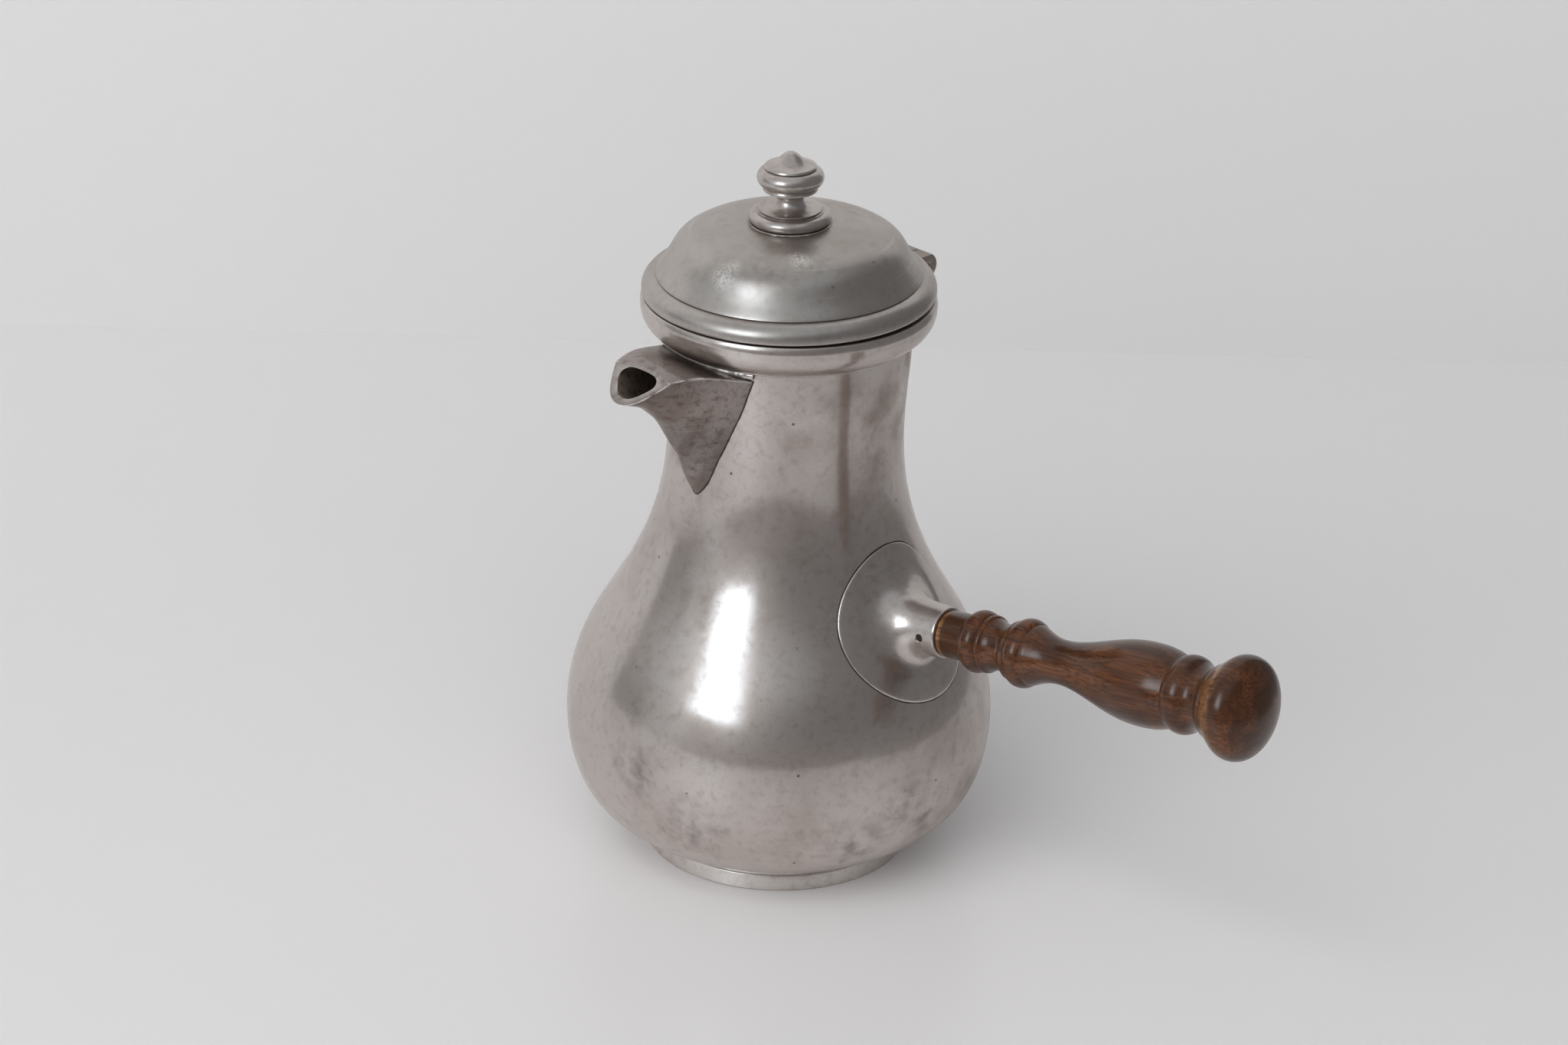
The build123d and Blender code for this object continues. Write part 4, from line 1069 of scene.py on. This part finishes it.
# ---------------------------------------------------------------- finial
# Turned pewter knob: base bead, thin disc, stem, lip, bulb and a peaked cap. Its tenon goes through
# the dome and is soldered, with a rough bright joint and a brown ring round it.
FINIAL_BASE_R = 12.2
FINIAL_DISC_R = 9.4
STEM_R = 4.1
LIP_R = 8.1
BULB_R = 9.9
CAP_R = 7.8
TENON_R = 3.0
FINIAL_SOLDER_R = 11.7
Z = LID_HEIGHT
base_top, lip, bulb, cap, tip = Z + 3.3, Z + 10.2, Z + 13.4, Z + 16.8, Z + 21.6
disc = base_top + 1.0
knob = ([(0.0, Z - 3.4), (TENON_R, Z - 3.4), (TENON_R, Z - 0.2)]
        + outline((FINIAL_BASE_R - 1.0, Z - 0.2),
                  ((FINIAL_BASE_R, Z + 1.5), (FINIAL_DISC_R + 0.3, base_top)),
                  (FINIAL_DISC_R - 0.3, base_top + 0.3), (FINIAL_DISC_R, disc - 0.3), (FINIAL_DISC_R, disc),
                  ((STEM_R + 1.3, disc + 0.6), (STEM_R, disc + 2.4)),
                  ((STEM_R + 0.4, lip - 1.6), (STEM_R + 1.6, lip - 0.9)),
                  (LIP_R, lip - 0.3), (LIP_R, lip + 0.3), (LIP_R - 0.3, lip + 0.9),
                  ((BULB_R, bulb), (CAP_R - 0.3, cap - 0.3)), (CAP_R, cap), (CAP_R - 0.3, cap + 0.6))
        + smooth_line([(CAP_R - 0.3, cap + 0.6), (CAP_R * 0.5, cap + (tip - cap) * 0.48),
                       (CAP_R * 0.26, cap + (tip - cap) * 0.83), (0.0, tip)], 0.4, first=(-1, 0.15),
                      last=(-1, 0))[1:])
FINIAL_METAL = pewter("finial_pewter", 0.16, Stains=0.5, Turning=0.5, Scratches=0.3, Pits=0.6)
finial_piece = turned_piece("finial_knob", eased(knob, 0.12), FINIAL_METAL, 192, 0.10, lid_matrix)
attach(finial_piece, "lid")
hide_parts("finial")

SOLDER_METAL = pewter("solder_pewter", Clean=(0.50, 0.43, 0.39, 1.0), Polished=0.7, Stains=1.0,
                      Dirt_Reach=0.003, Turning=0.0, Scratches=0.2, Pits=1.0)
turns = np.linspace(0, 2 * pi, 120, endpoint=False)
flat_joint = np.c_[FINIAL_SOLDER_R * np.cos(turns), FINIAL_SOLDER_R * np.sin(turns), 0 * turns + Z - 0.45]
joint = np.array([lid_matrix @ Vector(p * MM) for p in flat_joint]) / MM
upward = np.array([lid_matrix.to_3x3() @ Vector((0, 0, 1.0))] * len(turns))
widths = lumps(len(turns), 0.3, 0.8, 41, 2)
finial_solder = bead_along("finial_solder", joint, upward, widths, 0.35 + 0.3 * widths, SOLDER_METAL,
                           closed=True)
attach(finial_solder, "lid")

# ---------------------------------------------------------------- hinge
# Three-knuckle hinge: a flat strap with two knuckles is soldered on the lid's flange, and a lug on
# the back of the collar carries the middle one. A pewter pin runs through them.
HINGE_METAL = pewter("hinge_pewter", Clean=(0.46, 0.40, 0.36, 1.0), Dull=(0.36, 0.30, 0.26, 1.0),
                     Polished=0.35, Stains=1.0, Turning=0.0, Scratches=0.6, Pits=1.0)


def worn_copy(part, name, material, ease):
    """A copy of the CAD piece with its doubles merged and its edges worn round."""
    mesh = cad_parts[part].data.copy()
    mesh.materials.clear()
    work = bmesh.new()
    work.from_mesh(mesh)
    bmesh.ops.remove_doubles(work, verts=work.verts, dist=2e-6)
    bmesh.ops.dissolve_limit(work, angle_limit=radians(2), verts=work.verts, edges=work.edges)
    work.to_mesh(mesh)
    work.free()
    mesh.materials.append(material)
    maker = placed(name + "_maker", mesh)
    modifier = maker.modifiers.new("worn", "BEVEL")
    modifier.width, modifier.segments, modifier.limit_method = ease * MM, 3, "ANGLE"
    modifier.angle_limit = radians(35)
    modifier.use_clamp_overlap = True
    worn_mesh = evaluated_mesh(maker)
    bpy.data.objects.remove(maker)
    return finished(name, worn_mesh, material, 40.0)


for part, name, body_name, ease in (("hinge_strap", "strap", "lid", 0.3),
                                    ("hinge_bracket", "bracket", "pot", 0.3),
                                    ("hinge_pin", "pin", "lid", 0.15)):
    piece = worn_copy(part, name, HINGE_METAL, ease)
    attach(piece, body_name)
    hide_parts(part)

# ---------------------------------------------------------------- the room
# A pale table and wall under soft daylight from the left. The pewter mirrors a window, the light
# room left of the camera and the dark room in front and to the right, which light nothing. In
# mirrors the table and the wall end where they would on a real table.
FLOOR_TONE = (0.70, 0.69, 0.695, 1.0)
WALL_TONE = (0.58, 0.58, 0.58, 1.0)
WALL_AWAY = 0.398
WALL_LIT = 0.40
TABLE_FRONT = -0.50
TABLE_RIGHT = 0.42
FAR = 3.0
BALL_MIDDLE = Vector((0, 0, 0.08))


def plain(name, tone, rough, specular):
    material, tree = blank_material(name)
    shaded(tree, {"Base Color": tone, "Roughness": rough, "Specular IOR Level": specular})
    return material


def sheet_of(name, corners, material, mirrored=True, lighting=True):
    """A flat sheet of the room. It may be left out of what the pewter mirrors and of the light."""
    mesh = bpy.data.meshes.new(name)
    mesh.from_pydata([tuple(seen_from_camera(*c)) for c in corners], [], [tuple(range(len(corners)))])
    mesh.materials.append(material)
    piece = placed(name, mesh)
    piece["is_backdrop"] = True
    piece.visible_glossy = mirrored
    piece.visible_diffuse = lighting


TABLE_WHITE = plain("table_white", FLOOR_TONE, 0.34, 0.5)
sheet_of("table", ((-FAR, TABLE_FRONT, 0), (TABLE_RIGHT, TABLE_FRONT, 0), (TABLE_RIGHT, WALL_AWAY, 0),
                   (-FAR, WALL_AWAY, 0)), TABLE_WHITE)
sheet_of("table_round", ((-FAR, -FAR, 0), (FAR, -FAR, 0), (FAR, FAR, 0), (-FAR, FAR, 0),
                         (-FAR, WALL_AWAY, 0), (TABLE_RIGHT, WALL_AWAY, 0),
                         (TABLE_RIGHT, TABLE_FRONT, 0), (-FAR, TABLE_FRONT, 0)), TABLE_WHITE, False)

# The wall lets the camera see through its back, so that the pot shows from behind too.
WALL_WHITE = plain("wall_white", WALL_TONE, 0.7, 0.2)
tree = WALL_WHITE.node_tree
behind = times(tree, node(tree, "ShaderNodeNewGeometry").outputs["Backfacing"],
               node(tree, "ShaderNodeLightPath").outputs["Is Camera Ray"])
see_through = node(tree, "ShaderNodeBsdfTransparent")
either = node(tree, "ShaderNodeMixShader", {0: behind, 1: tree.nodes["Principled BSDF"].outputs[0],
                                            2: see_through.outputs[0]})
tree.links.new(either.outputs[0], tree.nodes["Material Output"].inputs["Surface"])
for name, low, high in (("wall", 0.0, WALL_LIT), ("wall_above", WALL_LIT, FAR)):
    for part, left, right, mirrored in (("", -FAR, TABLE_RIGHT, True), ("_right", TABLE_RIGHT, FAR, False)):
        sheet_of(name + part, ((left, WALL_AWAY, low), (right, WALL_AWAY, low), (right, WALL_AWAY, high),
                               (left, WALL_AWAY, high)), WALL_WHITE, mirrored, low == 0.0)


def direction(turn, lift):
    """From the pot: 0 is back towards the camera, and a positive turn is to the picture's right."""
    t, e = radians(turn), radians(lift)
    return Vector((sin(t) * cos(e), -cos(t) * cos(e), sin(e)))


def step(value, low, high):
    share = min(max((value - low) / (high - low), 0.0), 1.0)
    return share * share * (3 - 2 * share)


def glowing_card(name, tone, strength, turns, lifts, away, share):
    """Part of a ball round the pot that gives light. It fades where the share of its brightness does."""
    material, tree = blank_material(name)
    part = node(tree, "ShaderNodeAttribute", attribute_name="share").outputs["Fac"]
    light = node(tree, "ShaderNodeEmission", {"Color": tone, "Strength": strength})
    clear = node(tree, "ShaderNodeBsdfTransparent")
    shaded(tree, {0: part, 1: clear.outputs[0], 2: light.outputs[0]}, "ShaderNodeMixShader")
    count_across, count_up = 81, 41
    points, faces, shares = [], [], []
    for j in range(count_up):
        for i in range(count_across):
            turn = turns[0] + (turns[1] - turns[0]) * i / (count_across - 1)
            lift = lifts[0] + (lifts[1] - lifts[0]) * j / (count_up - 1)
            points.append(tuple(seen_from_camera(*(direction(turn, lift) * away + BALL_MIDDLE))))
            shares.append(share(turn, lift))
    for j in range(count_up - 1):
        for i in range(count_across - 1):
            at = j * count_across + i
            faces.append((at, at + 1, at + count_across + 1, at + count_across))
    mesh = bpy.data.meshes.new(name)
    mesh.from_pydata(points, [], faces)
    mesh.attributes.new("share", "FLOAT", "POINT").data.foreach_set("value", shares)
    mesh.materials.append(material)
    piece = placed(name, mesh)
    piece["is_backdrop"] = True
    piece.visible_camera = False
    piece.visible_shadow = False
    return piece


def dark_share(turn, lift):
    """The dark part of the room reaches higher on the right than in front."""
    top = 28 + 36 * step(turn, -10, 110)
    full = 1 - 0.07 * step(turn, 15, 70)
    return full * step(turn, -62, -42) * (1 - step(turn, 150, 176)) * (1 - step(lift, top - 8, top + 14))


def window_share(turn, lift):
    """The window is brightest at its middle, fades at its sides and dims towards its top."""
    across = step(turn, -58, -42) * (1 - step(turn, -32, -16))
    return across * step(lift, 14, 19) * (1 - 0.6 * step(lift, 26, 44)) * (1 - step(lift, 43, 51))


window = glowing_card("window", (0.92, 1.0, 1.06, 1.0), 5.6, (-58, -16), (14, 51), 1.6, window_share)
window.visible_diffuse = False
daylight_card = glowing_card("daylight", (1.0, 1.0, 1.0, 1.0), 3.75, (-80, 45), (8, 60), 2.6,
                             lambda turn, lift: step(turn, -80, -45) * (1 - 0.90 * step(turn, -25, 45)))
daylight_card.visible_glossy = False
left_room = glowing_card("left_room", (0.16, 0.170, 0.176, 1.0), 1.0, (-140, -64), (-2, 24), 1.9,
                         lambda turn, lift: (step(turn, -140, -118) * (1 - step(turn, -84, -66))
                                             * (1 - step(lift, 8, 24))))
left_room.visible_diffuse = False
dark_room = glowing_card("dark_room", (0.160, 0.160, 0.165, 1.0), 1.0, (-64, 178), (-60, 84), 1.9,
                         dark_share)
dark_room.visible_diffuse = False

world = bpy.data.worlds.new("soft_room")
bpy.context.scene.world = world
world.use_nodes = True
tree = world.node_tree
tree.nodes.clear()
path_kind = node(tree, "ShaderNodeLightPath").outputs
mirrored_ray = plus(tree, path_kind["Is Camera Ray"],
                    plus(tree, path_kind["Is Glossy Ray"], path_kind["Is Transmission Ray"]), clamp=True)
toward = node(tree, "ShaderNodeTexCoord").outputs["Generated"]
leftness = node(tree, "ShaderNodeVectorMath", {0: toward, 1: tuple(seen_from_camera(*direction(-50, 20)))},
                operation="DOT_PRODUCT").outputs["Value"]
daylight = plus(tree, 0.30, times(tree, leftness, 0.25))
strength = node(tree, "ShaderNodeMix", {0: mirrored_ray, 2: daylight, 3: 0.53}).outputs[0]
tint = mixed(tree, mirrored_ray, (1.0, 1.0, 1.0, 1.0), (0.945, 1.0, 1.03, 1.0))
sky = node(tree, "ShaderNodeBackground", {"Color": tint, "Strength": strength})
node(tree, "ShaderNodeOutputWorld", {"Surface": sky.outputs[0]})
bpy.context.scene.view_settings.view_transform = "Standard"

low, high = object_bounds()
